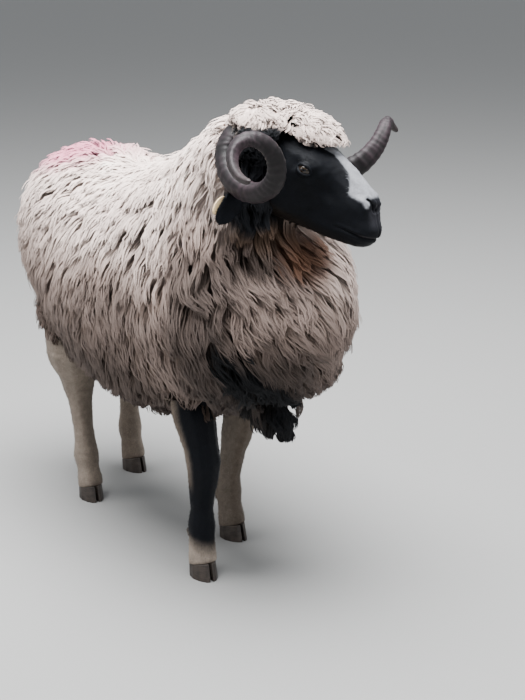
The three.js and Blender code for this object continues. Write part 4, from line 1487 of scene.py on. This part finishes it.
def haired_face(co):
    """How thickly the face and ears are haired. Eyelids, nostrils and lips are bare."""
    p = in_head(co)
    q = one_side(p)
    gap = lid_gap(q)[0]
    bare = (np.linalg.norm(q - EYE_PLACE, axis=1) < 24) & (gap < 3.5)
    bare |= near_line(q, NOSTRIL)[0] < 7
    bare |= (np.abs(p[:, 2] - lip_level(p[:, 0])) < 3) & (p[:, 0] > 182)
    on_head = (p[:, 0] > -60) & (co[:, 2] > 0.62) & (np.linalg.norm(p - (90, 0, -10), axis=1) < 235)
    return on_head * ~bare * (0.35 + 0.65 * smoothstep(250, 150, p[:, 0]))


def haired_legs(co):
    """Where the legs are haired, from the fleece to the hooves."""
    reach = from_legs(co).min(1)
    return (co[:, 2] > 0.042) * (co[:, 2] < 0.43) * (reach < 0.075)


HAIR = wool_material("short_hair_tufts", 0.6, 0.0, 0.3)
HAIR.node_tree.nodes["Principled BSDF"].inputs["Specular IOR Level"].default_value = 0.12
rng = np.random.default_rng(23)
hair_tufts("hair_head", rng, "head", haired_face, count=16000 // few, length=0.0070, width=0.00055)
hair_tufts("hair_legs", rng, "legs", haired_legs, count=8000 // few, length=0.0080, width=0.0007)
# the form of the fleece has done its work
bpy.data.objects.remove(fleece)

# ---------------------------------------------------------------- floor, lights and camera
# A plain pale floor and soft light: a wide panel overhead, two weaker ones at the sides, and a pale room.
# The camera stands at the height of a person's chest, a few steps from the ram's right shoulder.

bpy.ops.object.select_all(action="DESELECT")
bpy.ops.mesh.primitive_plane_add(size=60, location=(0, 0, 0))
floor = bpy.context.active_object
floor.name = "floor"
paper, *_, surface = shader("pale_floor", 0.9, 0.2)
surface.inputs["Base Color"].default_value = (0.26, 0.26, 0.255, 1)
floor.data.materials.append(paper)


def panel(name, place, size, power, colour):
    """A round panel of light, turned to the ram."""
    light = bpy.data.lights.new(name, "AREA")
    light.shape, light.size, light.energy, light.color = "DISK", size, power, colour
    lamp = added(name, light)
    lamp.location = place
    lamp.rotation_euler = (Vector((0, 0, 0.5)) - Vector(place)).to_track_quat("-Z", "Y").to_euler()


panel("sky_panel", (0.3, -0.3, 4.2), 3.6, 900, (0.985, 0.988, 1.0))
panel("side_panel", (-1.6, -3.4, 2.6), 2.6, 70, (1.0, 0.99, 0.97))
panel("front_panel", (4.0, 1.4, 2.0), 2.4, 50, (0.98, 0.99, 1.0))
world = bpy.data.worlds.new("studio")
world.use_nodes = True
world.node_tree.nodes["Background"].inputs["Color"].default_value = (0.85, 0.88, 0.92, 1)
world.node_tree.nodes["Background"].inputs["Strength"].default_value = 0.8
bpy.context.scene.world = world

azimuth, elevation, distance = math.radians(57), math.radians(16), 2.70
target = Vector((0.271745, -0.018106, 0.46))
back = Vector(
    (
        math.sin(azimuth) * math.cos(elevation),
        -math.cos(azimuth) * math.cos(elevation),
        math.sin(elevation),
    )
)
lens = bpy.data.cameras.new("camera")
lens.sensor_width = 36
lens.lens = 75.857143
camera = added("camera", lens)
camera.location = target + back * distance
camera.rotation_euler = (-back).to_track_quat("-Z", "Y").to_euler()
bpy.context.scene.camera = camera
